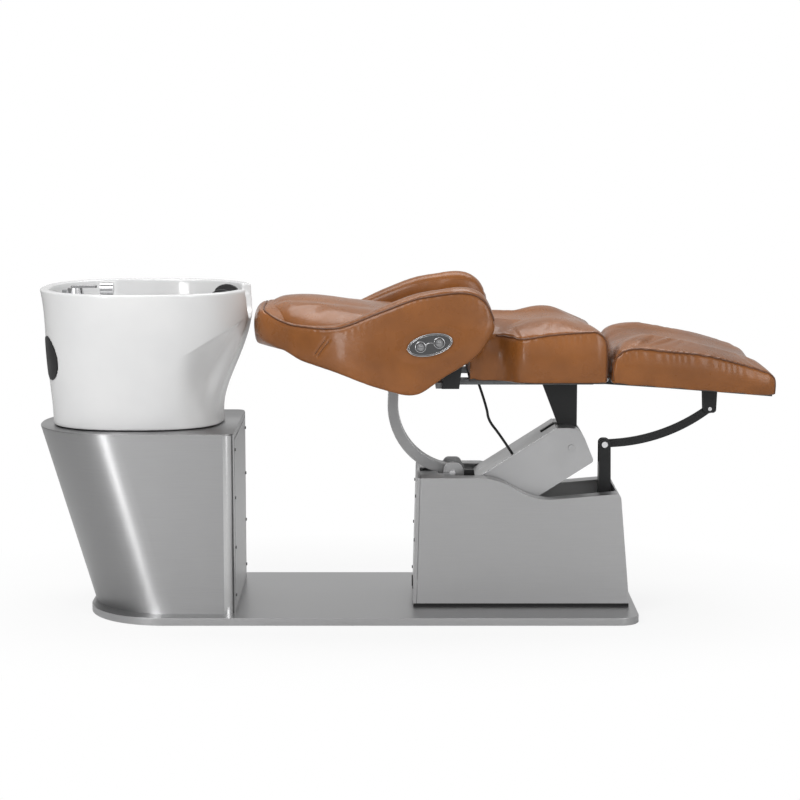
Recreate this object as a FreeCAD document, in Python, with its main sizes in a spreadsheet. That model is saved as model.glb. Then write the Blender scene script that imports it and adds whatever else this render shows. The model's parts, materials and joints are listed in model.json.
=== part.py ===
import FreeCAD, Part
import math
import os
import re
import Sketcher
from FreeCAD import Placement, Rotation, Vector

# Electric shampoo unit: a ceramic basin on a steel pedestal and a powered chair on one base plate.
# Millimetres. +X to the foot end, +Y to the sitter's left, +Z up, origin under the plate's centre.
SIZES = {
    # base plate
    "plate_length": 1430, "plate_width": 560, "plate_height": 20, "plate_sheet": 2, "plate_rear_round": 208,
    "plate_front_round": 50, "skirt_gap": 1, "service_radius": 60,
    # pedestal
    "ped_front_x": -328, "ped_rear_base_x": -711, "ped_rear_top_x": -850, "ped_width": 470,
    "ped_top_z": 488, "ped_wall": 3, "ped_rear_round": 225, "ped_front_round": 26, "deck_thick": 3,
    "gasket_thick": 3, "trim_thick": 1.2, "panel_thick": 2, "panel_margin": 34, "panel_flange": 16,
    "screw_radius": 4, "screw_head": 2.5,
    # basin
    "basin_front_x": -291, "basin_length": 553, "basin_width": 544, "basin_height": 357, "basin_wall": 24,
    "ledge_drop": 58, "tap_ledge": 191, "bowl_depth": 246, "front_lip": 26, "bowl_width": 456,
    "basin_floor": 22, "drain_radius": 20, "drain_gap": 2, "notch_radius": 96, "notch_rise": 14,
    "notch_length": 160, "pad_thick": 20, "pad_length": 62, "pad_set": 42, "pad_dome": 42, "soft_gap": 0.3,
    "cap_radius": 55, "cap_depth": 22, "cap_set": 39, "cap_y": -100, "cap_z": 670,
    # drain and taps
    "strainer_radius": 40, "strainer_thick": 3, "trap_radius": 45, "trap_top_z": 440, "trap_height": 130,
    "outlet_run": 105, "outlet_z": 370, "outlet_bend": 50, "mixer_set": 87, "mixer_radius": 24,
    "mixer_height": 34, "mixer_flange": 4, "mixer_cap_height": 16, "lever_length": 58, "lever_width": 22,
    "lever_thick": 6, "holder_set": 168, "holder_radius": 19, "holder_height": 24, "handle_radius": 11,
    "handle_length": 30, "head_radius": 22, "head_length": 34, "guide_set": 59, "guide_y": 45,
    "guide_radius": 13, "guide_height": 46,
    # chair base
    "box_width": 290, "box_rear_x": 133, "box_lean": 9, "box_foot": 8, "box_deck_z": 360,
    "box_deck_end": 345, "box_dip_x": 455, "box_dip_z": 300, "box_front_top_x": 674, "box_front_z": 319,
    "box_front_x": 699, "box_round": 14, "box_sweep": 150, "box_wall": 2.5, "well_width": 196,
    "well_margin": 8, "end_depth": 9, "seam": 1, "link_slot": 40, "link_slot_z": 130, "seal_width": 6,
    # chassis and pivots, as places in the side view
    "chassis_gap": 20, "chassis_thick": 6, "tower_y": 50, "tower_thick": 8, "arm_x": 303, "arm_z": 306,
    "post_x": 548, "post_z": 432, "level_dx": 8, "level_dz": -44, "backlink_x": 237, "backlink_z": 360,
    "legs_x": 641, "legs_z": 430, "drive_x": 205, "drive_z": 78, "shaft_radius": 12.5, "pin_radius": 8,
    "pin_fit": 0.05, "pin_end": 4, "eye_radius": 17, "stan_left": 627, "stan_right": 662, "stan_thick": 5,
    "stan_width": 50, "stan_round": 12, "switch_length": 26, "switch_height": 36, "switch_width": 20,
    "box_unit_length": 130, "box_unit_width": 80, "box_unit_height": 55, "inlet_radius": 15,
    "inlet_length": 3,
    # lift arm, in its own slanted frame at the arm pivot
    "arm_tilt": 32.5, "arm_width": 180, "arm_wall": 3, "arm_rear": 40, "arm_over": 42.7, "arm_above": 37.4,
    "arm_below": 88, "lid_thick": 3, "lid_start": 18, "lid_end": 269, "post_slot": 46,
    "post_slot_from": 226, "arm_lug_x": 445, "arm_lug_z": 330, "gland_radius": 7, "gland_height": 6,
    # drive
    "drive_radius": 22, "drive_tube": 176, "motor_radius": 28, "motor_length": 96, "rod_radius": 10,
    "rod_length": 200, "rod_fit": 0.08,
    # seat
    "post_rise": 172, "frame_tube": 16, "frame_bar": 30, "seat_rear_x": 276, "seat_step_x": 396,
    "seat_front_x": 627, "seat_rear_width": 414, "seat_front_width": 540, "board_thick": 10,
    "seat_height": 165, "cross_rear_x": 190, "cross_front_x": 250, "post_thick": 40, "hinge_plate": 6,
    "hinge_y": 216, "hinge_gap": 1,
    # back
    "back_x": 250, "hinge_rise": 138, "back_top_x": -280, "back_low_x": 240, "back_width": 456,
    "back_rise": 92, "head_width": 140, "back_low_rise": 64, "back_pad": 118, "link_top_x": 84,
    "link_top_rise": 34, "arm_pad_y": 229.3, "arm_pad_width": 70.7, "arm_pad_rear_x": -276,
    "arm_pad_length": 616, "arm_pad_drop": 10, "arm_pad_height": 286, "lug_thick": 6, "lug_y": 26,
    "pivot_set": 10, "pivot_rise": 8,
    # control panel
    "panel_x": 174, "panel_rise": 122, "panel_tilt": 12.6, "panel_long": 58, "panel_short": 28,
    "bezel_rim": 5, "bezel_thick": 4, "button_radius": 11, "button_length": 8, "button_x": 24,
    "button_stroke": 2.5,
    # leg rest and links
    "leg_front_x": 1054, "leg_gap": 7, "leg_width": 540, "leg_drop": 33, "leg_pad": 102, "leg_end_x": 919,
    "leg_end_drop": 80, "bracket_gap": 7, "link_width": 22, "link_thick": 10, "leg_bow": 24, "back_bar": 28,
    "back_bar_y": 44, "back_corner_x": 74, "back_corner_z": 381, "back_corner_round": 175,
    "cord_radius": 3.5, "cord_y": -60, "overrun": 20, "cord_top_x": 303, "cord_high_x": 327,
    "cord_high_z": 535, "cord_mid_x": 331, "cord_mid_z": 500, "cord_low_x": 362, "cord_low_z": 462,
    "cord_end_x": 394.1, "cord_end_z": 412.3,
    # smaller fits and places
    "head_pin": 5, "head_y": 15, "head_slack": 5, "level_y": 30, "post_right": 19, "post_left": 28,
    "post_head": 78, "post_waist": 42, "post_flare": 60, "rail_y": 105, "front_bar_x": 570, "board_set": 9,
    "lug_radius": 11, "leg_lug_y": 80, "leg_pin": 5, "leg_lift": 9, "leg_lug_clear": 16, "soft_tuck": 12,
    "back_slack": 8,
}

# places that follow other sizes
FOLLOW = {
    "arm_nose": "cos(arm_tilt) * (post_x - arm_x) + sin(arm_tilt) * (post_z - arm_z) + arm_over",
    "seat_top_plate_z": "post_z + post_rise", "back_z": "seat_top_plate_z + hinge_rise",
    "back_low_z": "seat_top_plate_z + back_low_rise", "link_top_z": "seat_top_plate_z + link_top_rise",
    "arm_pad_low_z": "seat_top_plate_z - arm_pad_drop", "pivot_z": "seat_top_plate_z + pivot_rise",
    "panel_z": "seat_top_plate_z + panel_rise", "leg_end_z": "seat_top_plate_z - leg_end_drop",
    "basin_rear_x": "basin_front_x - basin_length", "bowl_length": "basin_length - tap_ledge - front_lip",
    "bowl_x": "basin_front_x - front_lip - bowl_length / 2", "outlet_x": "bowl_x - outlet_run",
    "cap_x": "basin_rear_x + cap_set", "mixer_x": "basin_rear_x + mixer_set",
    "holder_x": "basin_rear_x + holder_set", "guide_x": "basin_rear_x + guide_set",
    "chassis_width": "box_width - 2 * chassis_gap", "pivot_x": "seat_front_x + pivot_set",
    "leg_rear_x": "seat_front_x + leg_gap", "board_front_x": "seat_front_x - board_set",
    "seat_rear_half": "seat_rear_width / 2", "seat_front_half": "seat_front_width / 2",
    "leg_half": "leg_width / 2", "back_half": "back_width / 2", "head_half": "head_width / 2",
}

doc = FreeCAD.newDocument("ShampooUnit")
sheet = doc.addObject("Spreadsheet::Sheet", "Sizes")
for row, (alias, value) in enumerate(SIZES.items(), start=1):
    sheet.set(f"A{row}", alias)
    sheet.set(f"B{row}", str(value))
    sheet.setAlias(f"B{row}", alias)
doc.recompute()

NODES = []


class Named:
    def __getattr__(self, alias):
        return num(FOLLOW[alias]) if alias in FOLLOW else float(sheet.get(alias))


S = Named()


def named(match):
    name = match[0]
    if name in FOLLOW:
        return f"({full(FOLLOW[name])})"
    return "Sizes." + name if name in SIZES else name


def full(text):
    return re.sub(r"[a-z][a-z_]*[a-z]", named, str(text))


def num(text):
    return float(sheet.evalExpression(full(text)))


def bind(obj, **values):
    for name, text in values.items():
        obj.setExpression(name, full(text))


def place(obj, x="0", y="0", z="0", axis=None, angle="0"):
    if axis is not None:
        obj.Placement = Placement(Vector(), Rotation(axis, num(angle) or 1))
        obj.setExpression("Placement.Rotation.Angle", full(angle))
    for name, text in (("x", x), ("y", y), ("z", z)):
        obj.setExpression(f"Placement.Base.{name}", full(text))
    return obj


def node(obj, label=None):
    if label:
        obj.Label = label
    NODES.append(obj)
    return obj


def solid(label, shape):
    obj = doc.addObject("Part::Feature", label)
    obj.Shape = shape
    return obj


# Sketch helpers
def dimension(sketch, kind, geo, pos, text):
    index = sketch.addConstraint(Sketcher.Constraint(kind, -1, 1, geo, pos, num(text)))
    sketch.setExpression(f"Constraints[{index}]", full(text))


def fix(sketch, geo, pos, x, y):
    dimension(sketch, "DistanceX", geo, pos, x)
    dimension(sketch, "DistanceY", geo, pos, y)


def outline(sketch, corners):
    spots = [Vector(num(c[0]), num(c[1]), 0) for c in corners]
    count = len(spots)
    enter, leave, centre = [], [], []
    for i, spot in enumerate(spots):
        before = (spots[i - 1] - spot).normalize()
        after = (spots[(i + 1) % count] - spot).normalize()
        if len(corners[i]) < 3:
            enter.append(spot)
            leave.append(spot)
            centre.append(None)
            continue
        half = before.getAngle(after) / 2
        radius = num(corners[i][2])
        enter.append(spot + before * (radius / math.tan(half)))
        leave.append(spot + after * (radius / math.tan(half)))
        centre.append(spot + (before + after).normalize() * (radius / math.sin(half)))
    lines = [sketch.addGeometry(Part.LineSegment(leave[i], enter[(i + 1) % count])) for i in range(count)]
    for i, spot in enumerate(spots):
        last, following = lines[i - 1], lines[i]
        if centre[i] is None:
            sketch.addConstraint(Sketcher.Constraint("Coincident", last, 2, following, 1))
            fix(sketch, following, 1, corners[i][0], corners[i][1])
            continue
        start, end = enter[i] - centre[i], leave[i] - centre[i]
        turn = start.cross(end).z > 0
        first, second = (start, end) if turn else (end, start)
        circle = Part.Circle(centre[i], Vector(0, 0, 1), start.Length)
        arc = sketch.addGeometry(Part.ArcOfCircle(circle, math.atan2(first.y, first.x),
                                                  math.atan2(second.y, second.x)))
        mark = sketch.addGeometry(Part.Point(spot), True)
        sketch.addConstraint(Sketcher.Constraint("Tangent", last, 2, arc, 1 if turn else 2))
        sketch.addConstraint(Sketcher.Constraint("Tangent", arc, 2 if turn else 1, following, 1))
        index = sketch.addConstraint(Sketcher.Constraint("Radius", arc, start.Length))
        sketch.setExpression(f"Constraints[{index}]", full(corners[i][2]))
        sketch.addConstraint(Sketcher.Constraint("PointOnObject", mark, 1, last))
        sketch.addConstraint(Sketcher.Constraint("PointOnObject", mark, 1, following))
        fix(sketch, mark, 1, corners[i][0], corners[i][1])


def hole(sketch, x, y, radius):
    geo = sketch.addGeometry(Part.Circle(Vector(num(x), num(y), 0), Vector(0, 0, 1), num(radius)))
    fix(sketch, geo, 3, x, y)
    index = sketch.addConstraint(Sketcher.Constraint("Radius", geo, num(radius)))
    sketch.setExpression(f"Constraints[{index}]", full(radius))


def sketch_on(body, role, offset, corners=(), holes=()):
    plane = [o for o in body.Origin.OriginFeatures if o.Role == role][0]
    sketch = body.newObject("Sketcher::SketchObject", body.Name + "_sketch")
    sketch.AttachmentSupport = [(plane, "")]
    sketch.MapMode = "FlatFace"
    sketch.setExpression("AttachmentOffset.Base.z", full(offset))
    if corners:
        outline(sketch, corners)
    for spot in holes:
        hole(sketch, *spot)
    return sketch


def pad(body, sketch, length, both=False):
    feature = body.newObject("PartDesign::Pad", body.Name + "_pad")
    feature.Profile = sketch
    feature.SideType = "Symmetric" if both else "One side"
    bind(feature, Length=length)
    sketch.Visibility = False
    doc.recompute()


def pocket(body, sketch, length, both=False, turned=False):
    feature = body.newObject("PartDesign::Pocket", body.Name + "_pocket")
    feature.Profile = sketch
    feature.SideType = "Symmetric" if both else "One side"
    feature.Reversed = turned
    bind(feature, Length=length)
    sketch.Visibility = False
    before = body.Shape.Volume
    doc.recompute()
    if not body.Shape.Volume < before:
        raise ValueError(body.Name + " pocket cuts nothing")


def new_body(label):
    return doc.addObject("PartDesign::Body", label)


def flat_body(label, corners, bottom, height, holes=()):
    body = new_body(label)
    pad(body, sketch_on(body, "XY_Plane", bottom, corners, holes), height)
    return body


def side_body(label, corners, near_y, width, holes=()):
    # outline in the side view, from near_y towards +Y
    body = new_body(label)
    pad(body, sketch_on(body, "XZ_Plane", f"-({near_y}) - ({width})", corners, holes), width)
    return body


def box(label, x, y, z, length, width, height):
    obj = doc.addObject("Part::Box", label)
    bind(obj, Length=length, Width=width, Height=height)
    return place(obj, x, y, z)


def post(label, x, y, z, radius, height, angle=None):
    obj = doc.addObject("Part::Cylinder", label)
    bind(obj, Radius=radius, Height=height)
    if angle:
        bind(obj, Angle=angle)
    return place(obj, x, y, z)


def cross_pin(label, x, z, radius, near_y, length):
    # a pin along +Y
    obj = doc.addObject("Part::Cylinder", label)
    bind(obj, Radius=radius, Height=length)
    obj.Placement = Placement(Vector(), Rotation(Vector(1, 0, 0), -90))
    for name, text in (("x", x), ("y", near_y), ("z", z)):
        obj.setExpression(f"Placement.Base.{name}", full(text))
    return obj


def long_pin(label, x, y, z, radius, length):
    # a pin along +X
    obj = doc.addObject("Part::Cylinder", label)
    bind(obj, Radius=radius, Height=length)
    obj.Placement = Placement(Vector(), Rotation(Vector(0, 1, 0), 90))
    for name, text in (("x", x), ("y", y), ("z", z)):
        obj.setExpression(f"Placement.Base.{name}", full(text))
    return obj


def cut(label, base, *tools):
    for i, tool in enumerate(tools):
        obj = doc.addObject("Part::Cut", label if i == len(tools) - 1 else label + "_step")
        obj.Base, obj.Tool = base, tool
        base = obj
    doc.recompute()
    return base


def fuse(label, *objs):
    obj = doc.addObject("Part::MultiFuse", label)
    obj.Shapes = list(objs)
    doc.recompute()
    return obj


def group(label, *objs):
    obj = doc.addObject("Part::Compound", label)
    obj.Links = list(objs)
    doc.recompute()
    return obj


# Base plate and its folded steel cover
def plate_outline(inset):
    left, right = f"-plate_length / 2 + {inset}", f"plate_length / 2 - {inset}"
    near, far = f"-plate_width / 2 + {inset}", f"plate_width / 2 - {inset}"
    rear, front = f"plate_rear_round - {inset}", f"plate_front_round - {inset}"
    return [(left, near, rear), (right, near, front), (right, far, front), (left, far, rear)]


service = [("outlet_x", "0", "service_radius")]
node(flat_body("base_plate", plate_outline("plate_sheet"), "0", "plate_height - plate_sheet", service))
cover = flat_body("base_cover", plate_outline("0"), "skirt_gap", "plate_height - skirt_gap", service)
pocket(cover, sketch_on(cover, "XY_Plane", "skirt_gap", plate_outline("plate_sheet")),
       "plate_height - plate_sheet - skirt_gap", turned=True)
node(cover)


# Pedestal: a D plan whose round rear leans in towards the floor
def dee(rear, inset):
    near, far = f"-ped_width / 2 + {inset}", f"ped_width / 2 - {inset}"
    left, right = f"{rear} + {inset}", f"ped_front_x - {inset}"
    back, corner = f"ped_rear_round - {inset}", f"ped_front_round - {inset}"
    return [(left, near, back), (right, near, corner), (right, far, corner), (left, far, back)]


SHELL_FOOT = "plate_height"
SHELL_TOP = "ped_top_z - deck_thick"
shell = new_body("pedestal_form")
for kind, inset in (("PartDesign::AdditiveLoft", "0 * ped_wall"),
                    ("PartDesign::SubtractiveLoft", "ped_wall")):
    low = sketch_on(shell, "XY_Plane", SHELL_FOOT, dee("ped_rear_base_x", inset))
    high = sketch_on(shell, "XY_Plane", SHELL_TOP, dee("ped_rear_top_x", inset))
    doc.recompute()
    loft = shell.newObject(kind, "pedestal_loft")
    loft.Profile = low
    loft.Sections = [high]
    doc.recompute()
doorway = box("pedestal_doorway", "ped_front_x - ped_wall - overrun",
              "-ped_width / 2 + panel_margin + panel_flange",
              f"{SHELL_FOOT} + panel_flange * 2", "ped_wall + overrun * 2",
              "ped_width - 2 * panel_margin - 2 * panel_flange",
              f"{SHELL_TOP} - ({SHELL_FOOT}) - panel_flange * 4")
node(cut("pedestal_shell", shell, doorway))
node(flat_body("pedestal_deck", dee("ped_rear_top_x", "0 * seam"), SHELL_TOP, "deck_thick",
               [("bowl_x", "0", "trap_radius + overrun")]))
node(box("pedestal_front_panel", "ped_front_x", "-ped_width / 2 + panel_margin",
         f"{SHELL_FOOT} + panel_flange",
         "panel_thick", "ped_width - 2 * panel_margin", f"{SHELL_TOP} - ({SHELL_FOOT}) - panel_flange * 2"))
trims = []
for side, turn in ((-1, -90), (1, 0)):
    ring = []
    for name, radius in (("outer", "ped_front_round + trim_thick"), ("inner", "ped_front_round")):
        wedge = post(f"trim_{name}", "ped_front_x - ped_front_round",
                     f"{side} * (ped_width / 2 - ped_front_round)",
                     SHELL_FOOT, radius, f"{SHELL_TOP} - ({SHELL_FOOT})", "90")
        wedge.Placement.Rotation = Rotation(Vector(0, 0, 1), turn)
        ring.append(wedge)
    trims.append(cut("corner_trim", *ring))
node(group("corner_trims", *trims))
heads = []
for side in (-1, 1):
    for rise_share in (0.06, 0.35, 0.65, 0.94):
        heads.append(long_pin("panel_screw", "ped_front_x + panel_thick",
                              f"{side} * (ped_width / 2 - panel_margin - panel_flange / 2)",
                              f"{SHELL_FOOT} + panel_flange"
                              f" + ({SHELL_TOP} - ({SHELL_FOOT}) - 2 * panel_flange) * {rise_share}",
                              "screw_radius", "screw_head"))
node(group("panel_screws", *heads))


# Basin: lofted through ovals, with a tap ledge, a bowl, a neck notch and a hollow foot
def oval(x, z, half_long, half_wide, power=2.4, count=16):
    spots = []
    for i in range(count):
        a = 2 * math.pi * i / count
        c, s = math.cos(a), math.sin(a)
        spots.append(Vector(x + half_long * math.copysign(abs(c) ** (2 / power), c),
                            half_wide * math.copysign(abs(s) ** (2 / power), s), z))
    curve = Part.BSplineCurve()
    curve.interpolate(spots, PeriodicFlag=True)
    return Part.Wire(curve.toShape())


FOOT_Z = S.ped_top_z + S.gasket_thick
RIM_Z = FOOT_Z + S.basin_height
LEDGE_Z = RIM_Z - S.ledge_drop
FRONT_X = S.basin_rear_x + S.basin_length
# height, rear inset and front inset as shares of the length, half width as a share
BASIN_SHARES = [(0.0, 0.049, 0.136, 0.69), (0.32, 0.036, 0.108, 0.785), (0.64, 0.022, 0.027, 0.895),
                (0.86, 0.0145, 0.0, 0.965), (1.0, 0.0, 0.0, 1.0)]


def basin_ring(share, inset=0.0):
    height, rear, front, wide = share
    left = S.basin_rear_x + rear * S.basin_length + inset
    right = FRONT_X - front * S.basin_length - inset
    return oval((left + right) / 2, FOOT_Z + height * S.basin_height, (right - left) / 2,
                wide * S.basin_width / 2 - inset)


body_form = Part.makeLoft([basin_ring(share) for share in BASIN_SHARES], True)
tray = Part.makeLoft([oval((S.basin_rear_x + FRONT_X) / 2, z, S.basin_length / 2 - inset,
                           S.basin_width / 2 - inset)
                      for z, inset in ((LEDGE_Z, S.basin_wall * 1.25),
                                       (RIM_Z + S.overrun, S.basin_wall * 0.9))], True)
BOWL_SHARES = [(0.0, 0.36, 0.32), (0.12, 0.78, 0.7), (0.5, 0.95, 0.92), (1.0, 1.0, 1.0)]
bowl_rise = S.bowl_depth - S.ledge_drop
bowl_z = RIM_Z - S.bowl_depth
bowl = Part.makeLoft([oval(S.bowl_x, bowl_z + h * (bowl_rise + S.seam), a * S.bowl_length / 2,
                           b * S.bowl_width / 2)
                      for h, a, b in BOWL_SHARES], True)
under_x = S.basin_rear_x + S.basin_length * 0.456
under = Part.makeLoft([oval(under_x, z, S.basin_length * share, S.basin_width * share * 0.8)
                       for z, share in ((FOOT_Z - S.overrun, 0.35), (bowl_z - S.basin_floor, 0.33))], True)
notch_z = RIM_Z + S.notch_rise
notch = Part.makeCylinder(S.notch_radius, S.notch_length, Vector(FRONT_X + S.overrun, 0, notch_z),
                          Vector(-1, 0, 0))
drain = Part.makeCylinder(S.drain_radius + S.drain_gap, S.bowl_depth, Vector(S.bowl_x, 0, FOOT_Z))
CAP_AXIS = Vector(-math.cos(math.radians(25)), -math.sin(math.radians(25)), 0)


def cap_plug(gap):
    start = Vector(S.cap_x, S.cap_y, S.cap_z) - CAP_AXIS * (S.cap_depth + gap)
    return Part.makeCylinder(S.cap_radius + gap, S.cap_depth * 3, start, CAP_AXIS)


basin = body_form.cut(tray).cut(bowl).cut(under).cut(notch).cut(drain).cut(cap_plug(S.soft_gap))
node(solid("basin", basin))
node(solid("basin_rear_cap", cap_plug(0).common(body_form)))
ring = Part.makeLoft([oval((S.basin_rear_x * 2 + S.basin_length * (1 + 0.049 - 0.136)) / 2, z,
                           S.basin_length * 0.395,
                           S.basin_width * 0.335) for z in (S.ped_top_z, FOOT_Z)], True)
ring_hole = Part.makeLoft([oval(under_x, z, S.basin_length * 0.36, S.basin_width * 0.29)
                           for z in (S.ped_top_z - S.overrun, FOOT_Z + S.overrun)], True)
node(solid("basin_gasket", ring.cut(ring_hole)))
saddle_radius = S.notch_radius - S.soft_gap
saddle_x = FRONT_X - S.pad_set
saddle = Part.makeCylinder(saddle_radius, S.pad_length, Vector(saddle_x, 0, notch_z), Vector(-1, 0, 0))
hollow = Part.makeCylinder(saddle_radius - S.pad_thick, S.notch_length * 2,
                           Vector(FRONT_X + S.overrun * 2, 0, notch_z),
                           Vector(-1, 0, 0))
dome = Part.makeCylinder(S.pad_dome, S.basin_width, Vector(saddle_x - S.pad_length / 2, -S.basin_width / 2,
                                                           RIM_Z - S.seam - S.pad_dome), Vector(0, 1, 0))
node(solid("neck_rest", saddle.cut(hollow).common(dome).removeSplitter()))

# Drain, trap and floor outlet
strainer = Part.makeCylinder(S.strainer_radius, S.strainer_thick, Vector(S.bowl_x, 0, bowl_z))
for i in range(6):
    a = math.pi * i / 3
    strainer = strainer.cut(Part.makeCylinder(S.strainer_thick, S.strainer_thick,
                                              Vector(S.bowl_x + math.cos(a) * S.strainer_radius * 0.3,
                                                     math.sin(a) * S.strainer_radius * 0.3, bowl_z)))
tail = Part.makeCylinder(S.drain_radius, bowl_z - S.trap_top_z, Vector(S.bowl_x, 0, S.trap_top_z))
tail = tail.cut(Part.makeCylinder(S.drain_radius * 0.85, bowl_z - S.trap_top_z + S.strainer_thick,
                                  Vector(S.bowl_x, 0, S.trap_top_z)))
node(solid("drain_strainer", strainer.fuse(tail).removeSplitter()))
trap = Part.makeCylinder(S.trap_radius, S.trap_height, Vector(S.bowl_x, 0, S.trap_top_z - S.trap_height))
start = Vector(S.bowl_x, 0, S.outlet_z)
bend = S.outlet_bend
elbow = Vector(S.outlet_x + bend, 0, S.outlet_z)
middle = Vector(S.outlet_x + bend - bend * math.sin(math.pi / 4), 0,
                S.outlet_z - bend + bend * math.cos(math.pi / 4))
falls = Vector(S.outlet_x, 0, S.outlet_z - bend)
floor = Vector(S.outlet_x, 0, S.skirt_gap)
run = Part.Wire([Part.makeLine(start, elbow), Part.Arc(elbow, middle, falls).toShape(),
                 Part.makeLine(falls, floor)])
mouth = Part.Wire(Part.makeCircle(S.drain_radius, start, Vector(-1, 0, 0)))
pipe = run.makePipeShell([mouth], True, True)
node(solid("bottle_trap", trap.fuse(pipe).removeSplitter()))

# Taps on the ledge
LEDGE = "ped_top_z + gasket_thick + basin_height - ledge_drop"
MIXER_TOP = f"{LEDGE} + mixer_flange + mixer_height"
node(fuse("mixer_body", post("mixer_flange_disc", "mixer_x", "0", LEDGE, "mixer_radius * 1.25",
                             "mixer_flange"),
          post("mixer_barrel", "mixer_x", "0", f"{LEDGE} + mixer_flange", "mixer_radius", "mixer_height")))
cap = doc.addObject("Part::Cone", "mixer_cap")
bind(cap, Radius1="mixer_radius", Radius2="mixer_radius * 0.8", Height="mixer_cap_height")
node(place(cap, "mixer_x", "0", f"{MIXER_TOP} + soft_gap"))
LEVER_REAR = "mixer_x - lever_width / 2 + lever_thick / 2"
LEVER_Z = f"{MIXER_TOP} + soft_gap * 2 + mixer_cap_height"
plate = flat_body("lever_plate", [(LEVER_REAR, "-lever_width / 2", "lever_width * 0.2"),
                                  ("mixer_x + lever_length", "-lever_width / 2", "lever_width * 0.3"),
                                  ("mixer_x + lever_length", "lever_width / 2", "lever_width * 0.3"),
                                  (LEVER_REAR, "lever_width / 2", "lever_width * 0.2")], LEVER_Z,
                  "lever_thick")
barrel = cross_pin("lever_barrel", LEVER_REAR, f"{LEVER_Z} + lever_thick / 2", "lever_thick / 2",
                   "-lever_width * 0.3",
                   "lever_width * 0.6")
lever = fuse("mixer_lever", plate, barrel)
node(lever)
node(cut("shower_holder", post("holder_barrel", "holder_x", "0", LEDGE, "holder_radius", "holder_height"),
         post("holder_bore", "holder_x", "0", f"{LEDGE} + seam * 4", "handle_radius + soft_gap",
              "holder_height")))
node(fuse("shower_handset", post("handset_handle", "holder_x", "0", f"{LEDGE} + seam * 5", "handle_radius",
                                 "handle_length + head_radius / 2"),
          long_pin("handset_head", "holder_x - head_length * 0.4", "0",
                   f"{LEDGE} + seam * 5 + handle_length + head_radius * 0.7", "head_radius * 0.8",
                   "head_length")))
node(post("hose_guide", "guide_x", "guide_y", LEDGE, "guide_radius", "guide_height"))


# Chair base: a folded box with a swept top edge, an open well and a separate end panel
def box_outline(inset, rear, low):
    top = f"box_deck_z - {inset}"
    front = f"box_front_z - {inset}"
    return [(f"{rear}", low), (f"{rear} + box_lean", top), ("box_deck_end", top, "box_sweep"),
            ("box_dip_x", f"box_dip_z - {inset}", "box_sweep"),
            (f"box_front_top_x - {inset}", front, "box_round"),
            (f"box_front_x - {inset}", low)]


BOX_FOOT = "plate_height + box_foot"
SHELL_REAR = "box_rear_x + end_depth + seam"
shell = side_body("chair_base_form", box_outline("0", SHELL_REAR, BOX_FOOT), "-box_width / 2", "box_width")
inner = sketch_on(shell, "XZ_Plane", "0", box_outline("box_wall", f"{SHELL_REAR} - overrun",
                                                      f"{BOX_FOOT} - overrun"))
pocket(shell, inner, "box_width - 2 * box_wall", both=True)
well = box("chair_base_well", f"{SHELL_REAR} + box_lean - overrun", "-well_width / 2",
           "box_dip_z - overrun * 2",
           f"box_front_top_x - well_margin - ({SHELL_REAR}) - box_lean + overrun", "well_width",
           "box_deck_z - box_dip_z + overrun * 3")
slot = box("chair_base_slot", "box_front_top_x - well_margin - overrun", "-link_slot / 2", "link_slot_z",
           "overrun * 4", "link_slot", "box_deck_z - link_slot_z")
node(cut("chair_base_shell", shell, well, slot))
end = side_body("chair_base_end_panel",
                [("box_rear_x", BOX_FOOT), ("box_rear_x + box_lean", "box_deck_z", "box_round * 0.6"),
                 ("box_rear_x + box_lean + end_depth", "box_deck_z"), ("box_rear_x + end_depth", BOX_FOOT)],
                "-box_width / 2", "box_width")
inner = sketch_on(end, "XZ_Plane", "0",
                  [("box_rear_x + box_wall", f"{BOX_FOOT} + box_wall"),
                   ("box_rear_x + box_lean + box_wall", "box_deck_z - box_wall - box_round"),
                   ("box_rear_x + box_lean + end_depth * 2", "box_deck_z - box_wall - box_round"),
                   ("box_rear_x + end_depth * 2", f"{BOX_FOOT} + box_wall")])
pocket(end, inner, "box_width - 2 * box_wall", both=True)
node(end)
heads = []
for side in (-1, 1):
    for rise_share in (0.12, 0.5, 0.85):
        rise = f"(box_deck_z - ({BOX_FOOT})) * {rise_share}"
        heads.append(long_pin("end_screw", f"box_rear_x + box_lean * {rise_share} - screw_head - soft_gap",
                              f"{side} * (box_width / 2 - panel_flange)", f"{BOX_FOOT} + {rise}",
                              "screw_radius",
                              "screw_head"))
node(group("end_panel_screws", *heads))


def seal_outline(inset):
    left, right = f"box_rear_x + {inset}", f"box_front_x - {inset}"
    near, far = f"-box_width / 2 + {inset}", f"box_width / 2 - {inset}"
    return [(left, near), (right, near), (right, far), (left, far)]


seal = flat_body("base_seal", seal_outline("box_wall / 2"), "plate_height", "box_foot")
pocket(seal, sketch_on(seal, "XY_Plane", "plate_height", seal_outline("box_wall / 2 + seal_width")),
       "box_foot",
       turned=True)
node(seal)

# Chassis: a floor plate with two tower plates that carry the pivots
LEVEL_X, LEVEL_Z = "arm_x + level_dx", "arm_z + level_dz"
CHASSIS_TOP = "plate_height + chassis_thick"
TOWER = [("drive_x - eye_radius * 1.6", CHASSIS_TOP), ("arm_x + eye_radius * 2.6", CHASSIS_TOP),
         ("arm_x + eye_radius * 1.6", "arm_z + eye_radius * 1.4", "eye_radius"),
         ("arm_x - eye_radius", "arm_z + eye_radius * 1.4"),
         ("backlink_x + eye_radius * 1.2", "backlink_z + eye_radius * 1.5", "eye_radius * 0.9"),
         ("backlink_x - eye_radius * 1.2", "backlink_z + eye_radius * 1.5", "eye_radius * 0.9"),
         ("drive_x - eye_radius * 0.4", "arm_z - eye_radius * 2")]
BORES = [("backlink_x", "backlink_z", "pin_radius"), ("arm_x", "arm_z", "shaft_radius"),
         (LEVEL_X, LEVEL_Z, "pin_radius"), ("drive_x", "drive_z", "pin_radius")]
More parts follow.
